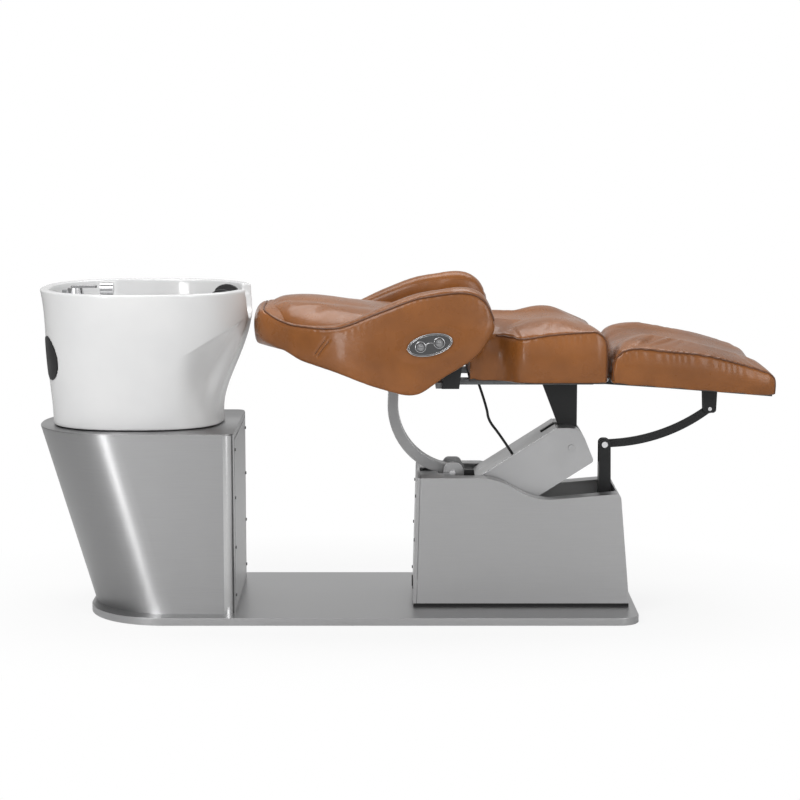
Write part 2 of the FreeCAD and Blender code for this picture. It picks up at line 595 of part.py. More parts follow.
towers = [side_body("tower_plate", TOWER, near, "tower_thick", BORES)
          for near in ("-tower_y - tower_thick", "tower_y")]
floor_plate = box("chassis_floor", "box_rear_x + box_lean + end_depth * 2", "-chassis_width / 2",
                  "plate_height",
                  "box_front_top_x - box_rear_x - box_lean - end_depth * 2 - well_margin", "chassis_width",
                  "chassis_thick")
node(fuse("chassis", floor_plate, *towers))
TOWER_HALF = "tower_y + tower_thick + pin_end"
pins = [cross_pin("arm_pivot_shaft", "arm_x", "arm_z", "shaft_radius", "-arm_width / 2 - pin_end",
                  "arm_width + 2 * pin_end"),
        cross_pin("leg_link_pin", "legs_x", "legs_z", "pin_radius", "-stan_width / 2 - pin_end",
                  "stan_width + 2 * pin_end"),
        cross_pin("back_link_pin", "backlink_x", "backlink_z", "pin_radius", f"-({TOWER_HALF})",
                  f"2 * ({TOWER_HALF})"),
        cross_pin("level_pin", LEVEL_X, LEVEL_Z, "pin_radius", f"-({TOWER_HALF})", f"2 * ({TOWER_HALF})"),
        cross_pin("drive_pin", "drive_x", "drive_z", "pin_radius", f"-({TOWER_HALF})",
                  f"2 * ({TOWER_HALF})")]
node(group("chassis_pins", *pins))

# Stanchion for the leg link: a channel open to the foot end
STAN = [("stan_left", CHASSIS_TOP), ("stan_right", CHASSIS_TOP),
        ("stan_right - stan_thick", "legs_z + stan_round", "stan_round"),
        ("stan_left", "legs_z + stan_round", "stan_round")]
stan = side_body("stanchion_form", STAN, "-stan_width / 2", "stan_width")
inner = sketch_on(stan, "XZ_Plane", "0", [("stan_left + stan_thick", f"{CHASSIS_TOP} + stan_thick"),
                                          ("stan_right + overrun", f"{CHASSIS_TOP} + stan_thick"),
                                          ("stan_right + overrun", "legs_z + eye_radius + overrun"),
                                          ("stan_left + stan_thick", "legs_z + eye_radius + overrun")])
pocket(stan, inner, "stan_width - 2 * stan_thick", both=True)
swing = sketch_on(stan, "XZ_Plane", "0", [("stan_left - overrun", "legs_z - eye_radius * 3"),
                                          ("stan_right + overrun", "legs_z - eye_radius * 3"),
                                          ("stan_right + overrun", "legs_z + eye_radius + overrun"),
                                          ("stan_left - overrun", "legs_z + eye_radius + overrun")])
pocket(stan, swing, "stan_width - 2 * stan_thick", both=True)
node(cut("leg_stanchion", stan, cross_pin("stan_bore", "legs_x", "legs_z", "pin_radius", "-stan_width",
                                          "stan_width * 2")))
node(box("limit_switch", "arm_x - eye_radius * 2.1", "-tower_y - tower_thick - switch_width",
         "arm_z + eye_radius * 1.7",
         "switch_length", "switch_width", "switch_height"))
node(box("control_box", "stan_left - overrun - box_unit_length", "-chassis_width / 2 + overrun / 2",
         CHASSIS_TOP,
         "box_unit_length", "box_unit_width", "box_unit_height"))
node(long_pin("mains_inlet", "box_rear_x + soft_gap - inlet_length", "0", f"{BOX_FOOT} + inlet_radius * 2",
              "inlet_radius", "inlet_length"))

# Lift arm, drawn in its own frame and set at the arm pivot
ARM_AXIS = Vector(0, -1, 0)


def on_arm(obj):
    return place(obj, "arm_x", "0", "arm_z", ARM_AXIS, "arm_tilt")


def arm_spot(x, z):
    along = f"cos(arm_tilt) * ({x} - arm_x) + sin(arm_tilt) * ({z} - arm_z)"
    across = f"cos(arm_tilt) * ({z} - arm_z) - sin(arm_tilt) * ({x} - arm_x)"
    return along, across


POST_SPOT = arm_spot("post_x", "post_z")
LUG_SPOT = arm_spot("arm_lug_x", "arm_lug_z")
HOUSING = [("-arm_rear", "-arm_above", "arm_wall * 8"), ("-arm_rear", "arm_above"),
           ("lid_end + seam * 2", "arm_above"),
           ("arm_nose - arm_wall * 8", "arm_above * 0.65", "arm_wall * 20"),
           ("arm_nose - seam * 2", "arm_above * 0.2", "arm_wall * 12"),
           ("arm_nose", "-arm_above * 0.6", "arm_wall * 8"),
           ("arm_nose - arm_wall * 4", "-arm_below", "arm_wall * 3"),
           ("arm_rear * 2", "-arm_below")]
housing = side_body("housing_form", HOUSING, "-arm_width / 2", "arm_width",
                    [("0 * arm_rear", "0 * arm_rear", "shaft_radius + pin_fit"),
                     (*POST_SPOT, "pin_radius")])
inner = sketch_on(housing, "XZ_Plane", "0",
                  [("-arm_rear - overrun", "-arm_below - overrun"),
                   ("-arm_rear - overrun", "arm_above + overrun"),
                   ("lid_end + seam * 2 - arm_wall", "arm_above + overrun"),
                   ("lid_end + seam * 2 - arm_wall", "arm_above - arm_wall"),
                   ("arm_nose - arm_wall * 9", "arm_above * 0.65 - arm_wall"),
                   ("arm_nose - seam * 2 - arm_wall * 2", "arm_above * 0.2 - arm_wall"),
                   ("arm_nose - arm_wall * 1.5", "-arm_above * 0.6"),
                   ("arm_nose - arm_wall * 5", "-arm_below - overrun")])
pocket(housing, inner, "arm_width - 2 * arm_wall", both=True)
slot = sketch_on(housing, "XZ_Plane", "0",
                 [("post_slot_from", "-arm_above * 0.6"), ("arm_nose + overrun", "-arm_above * 0.6"),
                  ("arm_nose + overrun", "arm_above + overrun"), ("post_slot_from", "arm_above + overrun")])
pocket(housing, slot, "post_slot", both=True)
lid = side_body("lift_arm_lid", [("lid_start", "arm_above"), ("lid_end", "arm_above"),
                                 ("lid_end", "arm_above + lid_thick"),
                                 ("lid_start", "arm_above + lid_thick")],
                "-arm_width / 2", "arm_width")
slot = sketch_on(lid, "XZ_Plane", "0", [("post_slot_from", "arm_above - overrun"),
                                        ("lid_end + overrun", "arm_above - overrun"),
                                        ("lid_end + overrun", "arm_above + overrun"),
                                        ("post_slot_from", "arm_above + overrun")])
pocket(lid, slot, "post_slot", both=True)
node(on_arm(lid))
BRIDGE = f"{LUG_SPOT[1]} + drive_radius"
bridge = side_body("bridge_plate", [(f"{LUG_SPOT[0]} - eye_radius", BRIDGE),
                                    (f"{LUG_SPOT[0]} + eye_radius", BRIDGE),
                                    (f"{LUG_SPOT[0]} + eye_radius", f"{BRIDGE} + hinge_plate"),
                                    (f"{LUG_SPOT[0]} - eye_radius", f"{BRIDGE} + hinge_plate")],
                   "-arm_width / 2 + arm_wall", "arm_width - 2 * arm_wall")
lugs = [side_body("bridge_lug", [(f"{LUG_SPOT[0]} - eye_radius", BRIDGE),
                                 (f"{LUG_SPOT[0]} - eye_radius * 0.8", f"{LUG_SPOT[1]} - eye_radius * 0.8",
                                  "eye_radius * 0.6"),
                                 (f"{LUG_SPOT[0]} + eye_radius * 0.8", f"{LUG_SPOT[1]} - eye_radius * 0.8",
                                  "eye_radius * 0.6"),
                                 (f"{LUG_SPOT[0]} + eye_radius", BRIDGE)], near, "lug_thick",
                  [(*LUG_SPOT, "head_pin")])
        for near in ("-head_y - lug_thick", "head_y")]
node(on_arm(fuse("lift_arm_housing", housing, bridge, *lugs)))
arm_pins = [cross_pin("post_pin", "post_x", "post_z", "pin_radius", "-arm_width / 2 - pin_end",
                      "arm_width + 2 * pin_end"),
            cross_pin("drive_head_pin", "arm_lug_x", "arm_lug_z", "head_pin", "-head_y - lug_thick",
                      "2 * head_y + 2 * lug_thick")]
node(group("lift_arm_pins", *arm_pins))

# Drive: a motor and tube on the chassis, and a rod that draws in
reach = math.hypot(S.arm_lug_x - S.drive_x, S.arm_lug_z - S.drive_z)
slant = math.degrees(math.atan2(S.arm_lug_z - S.drive_z, S.arm_lug_x - S.drive_x))


def on_drive(shape):
    shape.Placement = Placement(Vector(S.drive_x, 0, S.drive_z),
                                Rotation(Vector(0, -1, 0), slant)).multiply(shape.Placement)
    return shape


ALONG = Vector(1, 0, 0)
ACROSS = Vector(0, 1, 0)


def eye(x, radius, bore, half):
    ring = Part.makeCylinder(radius, 2 * half, Vector(x, -half, 0), ACROSS)
    return ring.cut(Part.makeCylinder(bore, 2 * half, Vector(x, -half, 0), ACROSS))


case = Part.makeCylinder(S.drive_radius, S.drive_tube, Vector(S.eye_radius, 0, 0), ALONG)
case = case.fuse(Part.makeCylinder(S.motor_radius, S.motor_length,
                                   Vector(S.eye_radius * 2, 0, -S.motor_radius * 1.5), ALONG))
case = case.fuse(Part.makeBox(S.motor_length * 0.35, S.drive_radius * 1.6, S.motor_radius * 1.5,
                              Vector(S.eye_radius * 2, -S.drive_radius * 0.8, -S.motor_radius * 1.5)))
case = case.fuse(Part.makeCylinder(S.eye_radius, S.drive_radius * 1.2, Vector(0, -S.drive_radius * 0.6, 0),
                                   ACROSS))
case = case.cut(Part.makeCylinder(S.pin_radius + S.pin_fit, S.drive_radius * 4,
                                  Vector(0, -S.drive_radius * 2, 0), ACROSS))
rod_start = reach - S.rod_length
case = case.cut(Part.makeCylinder(S.rod_radius + S.rod_fit, S.drive_tube * 2,
                                  Vector(S.eye_radius * 3.4, 0, 0), ALONG))
node(solid("drive_motor", on_drive(case.removeSplitter())))
rod = Part.makeCylinder(S.rod_radius, S.rod_length - S.eye_radius * 0.7, Vector(rod_start, 0, 0), ALONG)
rod = rod.fuse(Part.makeCylinder(S.eye_radius, S.head_y * 1.6, Vector(reach, -S.head_y * 0.8, 0), ACROSS))
rod = rod.cut(Part.makeCylinder(S.head_pin + S.head_slack, S.head_y * 4, Vector(reach, -S.head_y * 2, 0),
                                ACROSS))
node(solid("drive_rod", on_drive(rod.removeSplitter())))

# Level links: a parallel pair that keeps the seat level
POST_LOW_X, POST_LOW_Z = "post_x + level_dx", "post_z + level_dz"
links = []
for near in ("-level_y - link_thick", "level_y"):
    x0, z0, x1, z1 = num(LEVEL_X), num(LEVEL_Z), num(POST_LOW_X), num(POST_LOW_Z)
    span = math.hypot(x1 - x0, z1 - z0)
    half = S.link_width / 2
    bar = Part.makeBox(span, S.link_thick, S.link_width, Vector(0, 0, -half))
    bore = S.pin_radius + S.pin_fit
    for x in (0, span):
        bar = bar.fuse(Part.makeCylinder(S.eye_radius * 0.88, S.link_thick, Vector(x, 0, 0), ACROSS))
    for x in (0, span):
        bar = bar.cut(Part.makeCylinder(bore, S.link_thick, Vector(x, 0, 0), ACROSS))
    bar.Placement = Placement(Vector(x0, num(near), z0), Rotation(Vector(0, -1, 0),
                                                                  math.degrees(math.atan2(z1 - z0,
                                                                                          x1 - x0))))
    links.append(solid("level_bar", bar.removeSplitter()))
node(group("level_links", *links))

# Seat post and frame
POST = [(f"{POST_LOW_X} - eye_radius * 0.9", f"{POST_LOW_Z} - eye_radius * 0.9", "eye_radius * 0.7"),
        (f"{POST_LOW_X} + eye_radius * 0.9", f"{POST_LOW_Z} - eye_radius * 0.9", "eye_radius * 0.7"),
        ("post_x + post_right", "post_z"), ("post_x + post_right", "seat_top_plate_z"),
        ("post_x - post_head", "seat_top_plate_z"), ("post_x - post_left", "post_z + post_waist",
                                                     "post_flare"),
        ("post_x - post_left", "post_z - eye_radius")]
node(side_body("seat_post", POST, "-post_thick / 2", "post_thick",
               [("post_x", "post_z", "pin_radius + pin_fit"), (POST_LOW_X, POST_LOW_Z, "pin_radius")]))
seat_pins = [cross_pin("post_low_pin", POST_LOW_X, POST_LOW_Z, "pin_radius",
                       "-level_y - link_thick - pin_end",
                       "2 * (level_y + link_thick + pin_end)")]
RAIL_Z = "seat_top_plate_z"
BOARD_Z = "seat_top_plate_z + frame_tube"
rails = [box("seat_rail", "cross_rear_x", near, RAIL_Z, "front_bar_x + frame_bar - cross_rear_x",
             "frame_bar", "frame_tube")
         for near in ("-rail_y - frame_bar", "rail_y")]
post_plate = box("post_plate", "post_x - post_head", "-rail_y", RAIL_Z, "post_head + post_right",
                 "2 * rail_y", "frame_tube / 2")
front_bar = box("front_bar", "front_bar_x", "-rail_y", RAIL_Z, "frame_bar * 0.85", "2 * rail_y",
                "frame_tube")
LUG_REAR = "front_bar_x + frame_bar * 0.85"
FRONT_LUG = [(LUG_REAR, RAIL_Z), ("pivot_x + lug_radius", "pivot_z - lug_radius", "lug_radius * 0.8"),
             ("pivot_x + lug_radius", "pivot_z + lug_radius", "lug_radius * 0.8"),
             ("board_front_x", BOARD_Z), (LUG_REAR, BOARD_Z)]
front_lugs = [side_body("front_lug", FRONT_LUG, near, "tower_thick", [("pivot_x", "pivot_z", "leg_pin")])
              for near in ("-leg_lug_y - tower_thick", "leg_lug_y")]
cross_tube = box("cross_tube", "cross_rear_x", "-hinge_y", RAIL_Z, "cross_front_x - cross_rear_x",
                 "2 * hinge_y",
                 "frame_tube")
node(fuse("seat_frame", post_plate, front_bar, cross_tube, *rails))
HINGE = [("cross_rear_x + frame_bar * 0.5", "seat_top_plate_z"), ("cross_front_x", "seat_top_plate_z"),
         ("back_x + eye_radius * 1.1", "back_z + eye_radius", "eye_radius * 0.9"),
         ("back_x - eye_radius * 1.1", "back_z + eye_radius", "eye_radius * 0.9")]
hinge_plates = [side_body("hinge_plate", HINGE, near, "hinge_plate", [("back_x", "back_z", "leg_pin")])
                for near in ("-hinge_y - hinge_plate", "hinge_y")]
node(group("seat_hinge_plates", *hinge_plates, *front_lugs))
seat_pins += [cross_pin("hinge_pin", "back_x", "back_z", "leg_pin", near, "hinge_plate * 2 + hinge_gap")
              for near in ("-hinge_y - hinge_plate * 2 - hinge_gap", "hinge_y")]
seat_pins.append(cross_pin("leg_hinge_pin", "pivot_x", "pivot_z", "leg_pin",
                           "-leg_lug_y - tower_thick * 2 - hinge_gap * 2",
                           "2 * (leg_lug_y + tower_thick * 2 + hinge_gap * 2)"))
node(group("seat_pins", *seat_pins))
BOARD = [("seat_rear_x", "-seat_rear_half + overrun"), ("seat_step_x + overrun",
                                                         "-seat_rear_half + overrun"),
         ("seat_step_x + overrun", "-seat_front_half + overrun"),
         ("board_front_x", "-seat_front_half + overrun"),
         ("board_front_x", "seat_front_half - overrun"), ("seat_step_x + overrun",
                                                           "seat_front_half - overrun"),
         ("seat_step_x + overrun", "seat_rear_half - overrun"),
         ("seat_rear_x", "seat_rear_half - overrun")]
node(flat_body("seat_board", BOARD, BOARD_Z, "board_thick"))


# Soft pieces: lofts through sections of lines and arcs, crowned, drawn in at the sides
def arc(a, b, c):
    return Part.Arc(a, b, c).toShape()


def pad_section(x, half, low, edge, crown, valley):
    tuck = S.soft_tuck

    def at(y, z):
        return Vector(x, y, z)
    inner = (crown + valley) / 2
    edges = [Part.makeLine(at(-half + tuck, low), at(half - tuck, low)),
             arc(at(half - tuck, low), at(half, (low + edge) / 2), at(half - tuck / 2, edge)),
             arc(at(half - tuck / 2, edge), at(half * 0.72, crown), at(half * 0.4, inner)),
             arc(at(half * 0.4, inner), at(0, valley), at(-half * 0.4, inner)),
             arc(at(-half * 0.4, inner), at(-half * 0.72, crown), at(-half + tuck / 2, edge)),
             arc(at(-half + tuck / 2, edge), at(-half, (low + edge) / 2), at(-half + tuck, low))]
    return Part.Wire(edges)


def soft_loft(rows):
    return Part.makeLoft([pad_section(*row) for row in rows], True)


# along, half width, edge, crown and valley as shares of the seat's length, reach and height
SEAT_ROWS = [(0.000, 0.759, 0.697, 0.800, 0.739), (0.068, 0.767, 0.752, 0.873, 0.800),
             (0.197, 0.774, 0.739, 0.897, 0.812), (0.262, 0.815, 0.727, 0.897, 0.806),
             (0.308, 0.889, 0.715, 0.903, 0.800), (0.359, 0.963, 0.709, 0.909, 0.800),
             (0.425, 0.996, 0.727, 0.921, 0.800), (0.553, 1.000, 0.770, 0.939, 0.812),
             (0.695, 1.000, 0.806, 0.933, 0.818), (0.838, 1.000, 0.830, 0.885, 0.800),
             (0.940, 0.996, 0.818, 0.830, 0.758), (0.980, 0.985, 0.739, 0.745, 0.691),
             (1.000, 0.970, 0.636, 0.648, 0.606)]
seat_low = num(BOARD_Z)
rows = []
for along, wide, edge, crown, valley in SEAT_ROWS:
    z = [seat_low + share * S.seat_height for share in (edge, crown, valley)]
    rows.append((S.seat_rear_x + along * (S.seat_front_x - S.seat_rear_x), wide * S.seat_front_half,
                 seat_low, *z))


def under_box(x0, x1, reach, z0, z1):
    return Part.makeBox(x1 - x0, 2 * reach, z1 - z0, Vector(x0, -reach, z0))


seat_form = soft_loft(rows)
low_z, high_z = seat_low - S.overrun, seat_low + S.board_thick + S.soft_gap
step = S.seat_step_x + S.overrun
for x0, x1, reach in ((S.seat_rear_x - S.overrun, step, S.seat_rear_half - S.overrun + S.soft_gap),
                      (step - S.soft_gap, S.board_front_x + S.soft_gap,
                       S.seat_front_half - S.overrun + S.soft_gap),
                      (S.board_front_x - S.overrun, S.seat_front_x + S.overrun, S.rail_y)):
    seat_form = seat_form.cut(under_box(x0, x1, reach, low_z, high_z))
node(solid("seat_cushion", seat_form.removeSplitter()))


# Back: a sloping board with side plates, a crowned cushion and two padded arms
def back_low(x):
    return f"(back_low_z + back_rise * (back_low_x - ({x})) / (back_low_x - back_top_x))"


def board_step(rear, front, half):
    corners = [(front, back_low(front)), (front, f"{back_low(front)} + board_thick"),
               (rear, f"{back_low(rear)} + board_thick"), (rear, back_low(rear))]
    return side_body("board_step", corners, f"-({half})", f"2 * ({half})")


SIDE_END = "link_top_x - frame_bar * 2"
back_board = node(fuse("back_board", board_step(SIDE_END, "cross_rear_x", "hinge_y"),
          board_step("back_top_x * 0.42", f"{SIDE_END} + overrun", "head_half * 2.3"),
          board_step("back_top_x + overrun * 2", "back_top_x * 0.42 + overrun", "head_half")))
EAR_Y = "hinge_y + hinge_plate + hinge_gap"
SIDE = [("back_x + eye_radius", "back_z - eye_radius", "eye_radius * 0.9"),
        ("back_x + eye_radius", "back_z + eye_radius", "eye_radius * 0.9"),
        ("back_x - eye_radius", "back_z + eye_radius", "eye_radius * 0.9"),
        ("cross_rear_x", f"{back_low('cross_rear_x')} + frame_bar"),
        (SIDE_END, f"{back_low(SIDE_END)} + frame_bar"), (SIDE_END, back_low(SIDE_END)),
        ("cross_rear_x", back_low("cross_rear_x"))]
plates = [side_body("side_plate", SIDE, near, "hinge_plate", [("back_x", "back_z", "leg_pin + pin_fit")])
          for near in (f"-({EAR_Y}) - hinge_plate", EAR_Y)]
TIE = f"{EAR_Y} + hinge_plate"
ties = [box("back_tie", x, f"-({TIE})", f"{back_low(x + ' + frame_bar')} - frame_tube", "frame_bar",
            f"2 * ({TIE})", "frame_tube")
        for x in ("link_top_x + frame_bar * 2", SIDE_END)]
node(fuse("back_frame", *plates, *ties))
LINK_LUG = [("link_top_x - eye_radius * 1.5", back_low("link_top_x - eye_radius * 1.5")),
            ("link_top_x - eye_radius", "link_top_z - eye_radius", "eye_radius * 0.9"),
            ("link_top_x + eye_radius", "link_top_z - eye_radius", "eye_radius * 0.9"),
            ("link_top_x + eye_radius * 1.5", back_low("link_top_x + eye_radius * 1.5"))]
node(group("back_link_lugs", *[side_body("link_lug", LINK_LUG, near, "lug_thick",
                                         [("link_top_x", "link_top_z", "head_pin")])
                               for near in ("-lug_y - lug_thick", "lug_y")]))
node(cross_pin("back_link_top_pin", "link_top_x", "link_top_z", "head_pin", "-lug_y - lug_thick - pin_end",
               "2 * (lug_y + lug_thick + pin_end)"))
span = S.back_low_x - S.back_top_x
# along, half width, foot, edge and crown as shares of the back's length, reach and padding
BACK_ROWS = [(0.000, 0.096, -0.494, -0.155, 0.014), (0.031, 0.281, -0.538, 0.157, 0.327),
             (0.071, 0.447, 0.000, 0.222, 0.434), (0.140, 0.658, 0.000, 0.158, 0.548),
             (0.273, 0.833, 0.000, 0.176, 0.676), (0.373, 0.904, 0.000, 0.254, 0.712),
             (0.475, 0.912, 0.000, 0.351, 0.724), (0.615, 0.904, 0.000, 0.494, 0.748),
             (0.769, 0.899, 0.000, 0.597, 0.801), (0.904, 0.899, 0.000, 0.668, 0.855),
             (1.000, 0.895, 0.000, 0.591, 0.743)]
rows = []
for along, wide, foot, edge, crown in BACK_ROWS:
    x = S.back_top_x + along * span
    low = num(back_low(f"back_top_x + {along} * (back_low_x - back_top_x)")) + S.board_thick + S.soft_gap
    high, top = low + edge * S.back_pad, low + crown * S.back_pad
    rows.append((x, wide * S.back_half, low + foot * S.back_pad, high, high + (top - high) * 0.62, top))
back_form = soft_loft(rows)
for shift in (Vector(0, 0, 0), Vector(0, 0, S.soft_gap), Vector(-S.soft_gap, 0, 0)):
    board_form = back_board.Shape.copy()
    board_form.translate(shift)
    back_form = back_form.cut(board_form)
node(solid("back_cushion", back_form.removeSplitter()))
# sections of an arm: place along it, piping, crown, foot, outer face and thickness, all as shares
ARM_ROWS = [(0.000, 0.587, 0.594, 0.413, 0.2067, 0.311), (0.023, 0.692, 0.703, 0.374, 0.3733, 0.354),
            (0.058, 0.696, 0.706, 0.350, 0.5000, 0.382), (0.112, 0.640, 0.654, 0.325, 0.6200, 0.453),
            (0.240, 0.601, 0.619, 0.259, 0.8167, 0.636), (0.351, 0.608, 0.636, 0.192, 0.9233, 0.820),
            (0.487, 0.717, 0.762, 0.087, 0.9800, 0.000), (0.578, 0.794, 0.846, 0.031, 0.9983, 0.000),
            (0.674, 0.867, 0.920, 0.007, 0.9987, 0.000), (0.773, 0.902, 0.958, 0.140, 0.9987, 0.000),
            (0.870, 0.920, 0.979, 0.269, 0.9983, 0.000), (0.935, 0.881, 0.937, 0.381, 0.9980, 0.000),
            (0.977, 0.790, 0.839, 0.503, 0.9933, 0.000), (1.000, 0.664, 0.692, 0.580, 0.9800, 0.000)]


def arm_section(side, along, piping, top, foot, out, thick):
    x = S.arm_pad_rear_x + along * S.arm_pad_length
    edge, high, low = [S.arm_pad_low_z + share * S.arm_pad_height for share in (piping, top, foot)]
    outer = out * (S.arm_pad_y + S.arm_pad_width)
    inner = outer - thick * S.arm_pad_width if thick else S.arm_pad_y + S.soft_gap
    tuck = S.soft_tuck / 3

    def at(y, z):
        return Vector(x, side * y, z)
    edges = [Part.makeLine(at(inner, low), at(outer - tuck, low)),
             arc(at(outer - tuck, low), at(outer, (low + edge) / 2), at(outer - tuck, edge)),
             arc(at(outer - tuck, edge), at((inner + outer) / 2, high), at(inner, edge)),
             Part.makeLine(at(inner, edge), at(inner, low))]
    return Part.Wire(edges)


for label, side in (("right_armrest", -1), ("left_armrest", 1)):
    node(solid(label, Part.makeLoft([arm_section(side, *row) for row in ARM_ROWS], True)))

# Control panel on the right arm
panel_y = -S.arm_pad_y - S.arm_pad_width


def disc(long, short, y, thick, x=0.0):
    rim = Part.Ellipse(Vector(x, 0, 0), long, short) if long > short else Part.Circle(Vector(x, 0, 0),
                                                                                      Vector(0, 0, 1), long)
    shape = Part.Face(Part.Wire(rim.toShape())).extrude(Vector(0, 0, thick))
    shape.Placement = Placement(Vector(0, y, 0), Rotation(Vector(1, 0, 0), 90))
    return shape


def on_panel(shape):
    shape.Placement = Placement(Vector(S.panel_x, 0, S.panel_z),
                                Rotation(Vector(0, -1, 0), S.panel_tilt)).multiply(shape.Placement)
    return shape


face = disc(S.panel_long - S.bezel_rim, S.panel_short - S.bezel_rim, panel_y, S.bezel_thick * 0.8)
bezel = disc(S.panel_long, S.panel_short, panel_y, S.bezel_thick)
bezel = bezel.cut(disc(S.panel_long - S.bezel_rim, S.panel_short - S.bezel_rim, panel_y + S.overrun,
                       S.overrun * 3))
for x in (-S.button_x, S.button_x):
    face = face.cut(disc(S.button_radius + S.soft_gap, S.button_radius + S.soft_gap, panel_y + S.overrun,
                         S.overrun * 3, x))
node(solid("panel_bezel", on_panel(bezel)))
node(solid("panel_face", on_panel(face)))
for label, x in (("recline_button", -S.button_x), ("raise_button", S.button_x)):
    node(solid(label, on_panel(disc(S.button_radius, S.button_radius,
                                    panel_y - S.button_stroke - S.soft_gap, S.button_length, x))))


# Leg rest: a board on two rails that hang on the seat frame
def leg_low(x):
    return f"(pivot_z + leg_lift - leg_drop * ({x} - leg_rear_x) / (leg_front_x - leg_rear_x))"


LEG_START = "leg_rear_x + leg_lug_clear"
LEG_BOARD = [(LEG_START, leg_low(LEG_START)), ("leg_front_x - overrun / 2",
                                               leg_low("leg_front_x - overrun / 2")),
             ("leg_front_x - overrun / 2", f"{leg_low('leg_front_x - overrun / 2')} + board_thick"),
             (LEG_START, f"{leg_low(LEG_START)} + board_thick")]
node(side_body("legrest_board", LEG_BOARD, "-leg_half + overrun", "2 * leg_half - 2 * overrun"))
RAIL_END = "leg_end_x + frame_bar * 2"
LEG_RAIL = [("pivot_x - lug_radius", "pivot_z - lug_radius", "lug_radius * 0.8"),
            (RAIL_END, f"{leg_low(RAIL_END)} - frame_tube"),
            (RAIL_END, leg_low(RAIL_END)), (LEG_START, leg_low(LEG_START)),
            ("pivot_x - lug_radius", "pivot_z + lug_radius", "lug_radius * 0.8")]
LEG_EAR = "leg_lug_y + tower_thick + hinge_gap"
node(group("legrest_rails", *[side_body("leg_rail", LEG_RAIL, near, "tower_thick",
                                        [("pivot_x", "pivot_z", "leg_pin + pin_fit")])
                              for near in (f"-({LEG_EAR}) - tower_thick", LEG_EAR)]))
BRACKET = [("leg_end_x - eye_radius * 1.2", leg_low("leg_end_x - eye_radius * 1.2")),
           ("leg_end_x - eye_radius", "leg_end_z - lug_radius", "lug_radius * 0.8"),
           ("leg_end_x + eye_radius", "leg_end_z - lug_radius", "lug_radius * 0.8"),
           ("leg_end_x + eye_radius * 1.2", leg_low("leg_end_x + eye_radius * 1.2"))]
node(group("legrest_bracket", *[side_body("leg_lug", BRACKET, near, "lug_thick")
                                for near in ("-bracket_gap - lug_thick", "bracket_gap")]))
node(group("legrest_bolts", *[cross_pin("leg_bolt", "leg_end_x", "leg_end_z", "leg_pin", near, "pin_end")
                              for near in ("-bracket_gap - lug_thick - pin_end",
                                           "bracket_gap + lug_thick")]))
span = S.leg_front_x - S.leg_rear_x
# along, half width, edge, crown and valley as shares of the leg rest's length, reach and padding
LEG_ROWS = [(0.000, 0.970, 0.461, 0.539, 0.422), (0.019, 0.989, 0.683, 0.800, 0.643),
            (0.050, 0.996, 0.830, 1.006, 0.791), (0.112, 1.000, 0.938, 1.134, 0.889),
            (0.300, 1.000, 0.960, 1.166, 0.901), (0.519, 1.000, 0.952, 1.060, 0.864),
            (0.757, 1.000, 0.814, 0.882, 0.706), (0.919, 0.996, 0.670, 0.709, 0.572),
            (0.976, 0.985, 0.581, 0.600, 0.482), (1.000, 0.967, 0.451, 0.461, 0.373)]
rows = []
for along, wide, edge, crown, valley in LEG_ROWS:
    low = num(leg_low(f"leg_rear_x + {along} * (leg_front_x - leg_rear_x)"))
    z = [low + share * S.leg_pad for share in (edge, crown, valley)]
    rows.append((S.leg_rear_x + along * span, wide * S.leg_half, low, *z))
reach = S.leg_half - S.overrun + S.soft_gap
ends = [(num(LEG_START) - S.soft_gap, num(leg_low(LEG_START))),
        (S.leg_front_x - S.overrun / 2 + S.soft_gap, num(leg_low("leg_front_x - overrun / 2")))]
corners = [Vector(ends[i][0], -reach, ends[i][1] + rise)
           for i, rise in ((0, -S.overrun), (1, -S.overrun), (1, S.board_thick + S.soft_gap),
                           (0, S.board_thick + S.soft_gap))]
pocket_form = Part.Face(Part.makePolygon([*corners, corners[0]])).extrude(Vector(0, 2 * reach, 0))
leg_form = soft_loft(rows).cut(pocket_form)
ear_reach = num("leg_lug_y + tower_thick * 4")
leg_form = leg_form.cut(under_box(S.leg_rear_x - S.overrun, num(LEG_START) + S.overrun, ear_reach,
                                  ends[0][1] - S.overrun,
                                  ends[0][1] + S.board_thick + S.soft_gap))
node(solid("legrest_cushion", leg_form.removeSplitter()))


# Curved links
def flat_wire(edges):
    return Part.Face(Part.Wire(edges))


def bar_shape(face, thick, ends, eyes, bores):
    shape = face.extrude(Vector(0, thick, 0))
    y = face.BoundBox.YMin
    for spot, radius in zip(ends, eyes):
        shape = shape.fuse(Part.makeCylinder(radius, thick, Vector(spot.x, y, spot.z), ACROSS))
    for spot, radius in zip(ends, bores):
        shape = shape.cut(Part.makeCylinder(radius, thick, Vector(spot.x, y, spot.z), ACROSS))
    return shape.removeSplitter()


y = -S.link_thick / 2
low_end, high_end = Vector(S.legs_x, y, S.legs_z), Vector(S.leg_end_x, y, S.leg_end_z)
along = (high_end - low_end).normalize()
side = Vector(-along.z, 0, along.x)
half = S.link_width / 2
sag = (low_end + high_end) / 2 - side * S.leg_bow
edges = [arc(low_end + side * half, sag + side * half, high_end + side * half),
         Part.makeLine(high_end + side * half, high_end - side * half),
         arc(high_end - side * half, sag - side * half, low_end - side * half),
         Part.makeLine(low_end - side * half, low_end + side * half)]
node(solid("leg_link", bar_shape(flat_wire(edges), S.link_thick, (low_end, high_end),
                                 (S.eye_radius * 0.8, S.link_width * 0.6),
                                 (S.pin_radius + S.pin_fit, S.leg_pin))))
y = -S.back_bar_y / 2
foot, head = Vector(S.backlink_x, y, S.backlink_z), Vector(S.link_top_x, y, S.link_top_z)
corner = Vector(S.back_corner_x, y, S.back_corner_z)
first, second = (foot - corner).normalize(), (head - corner).normalize()
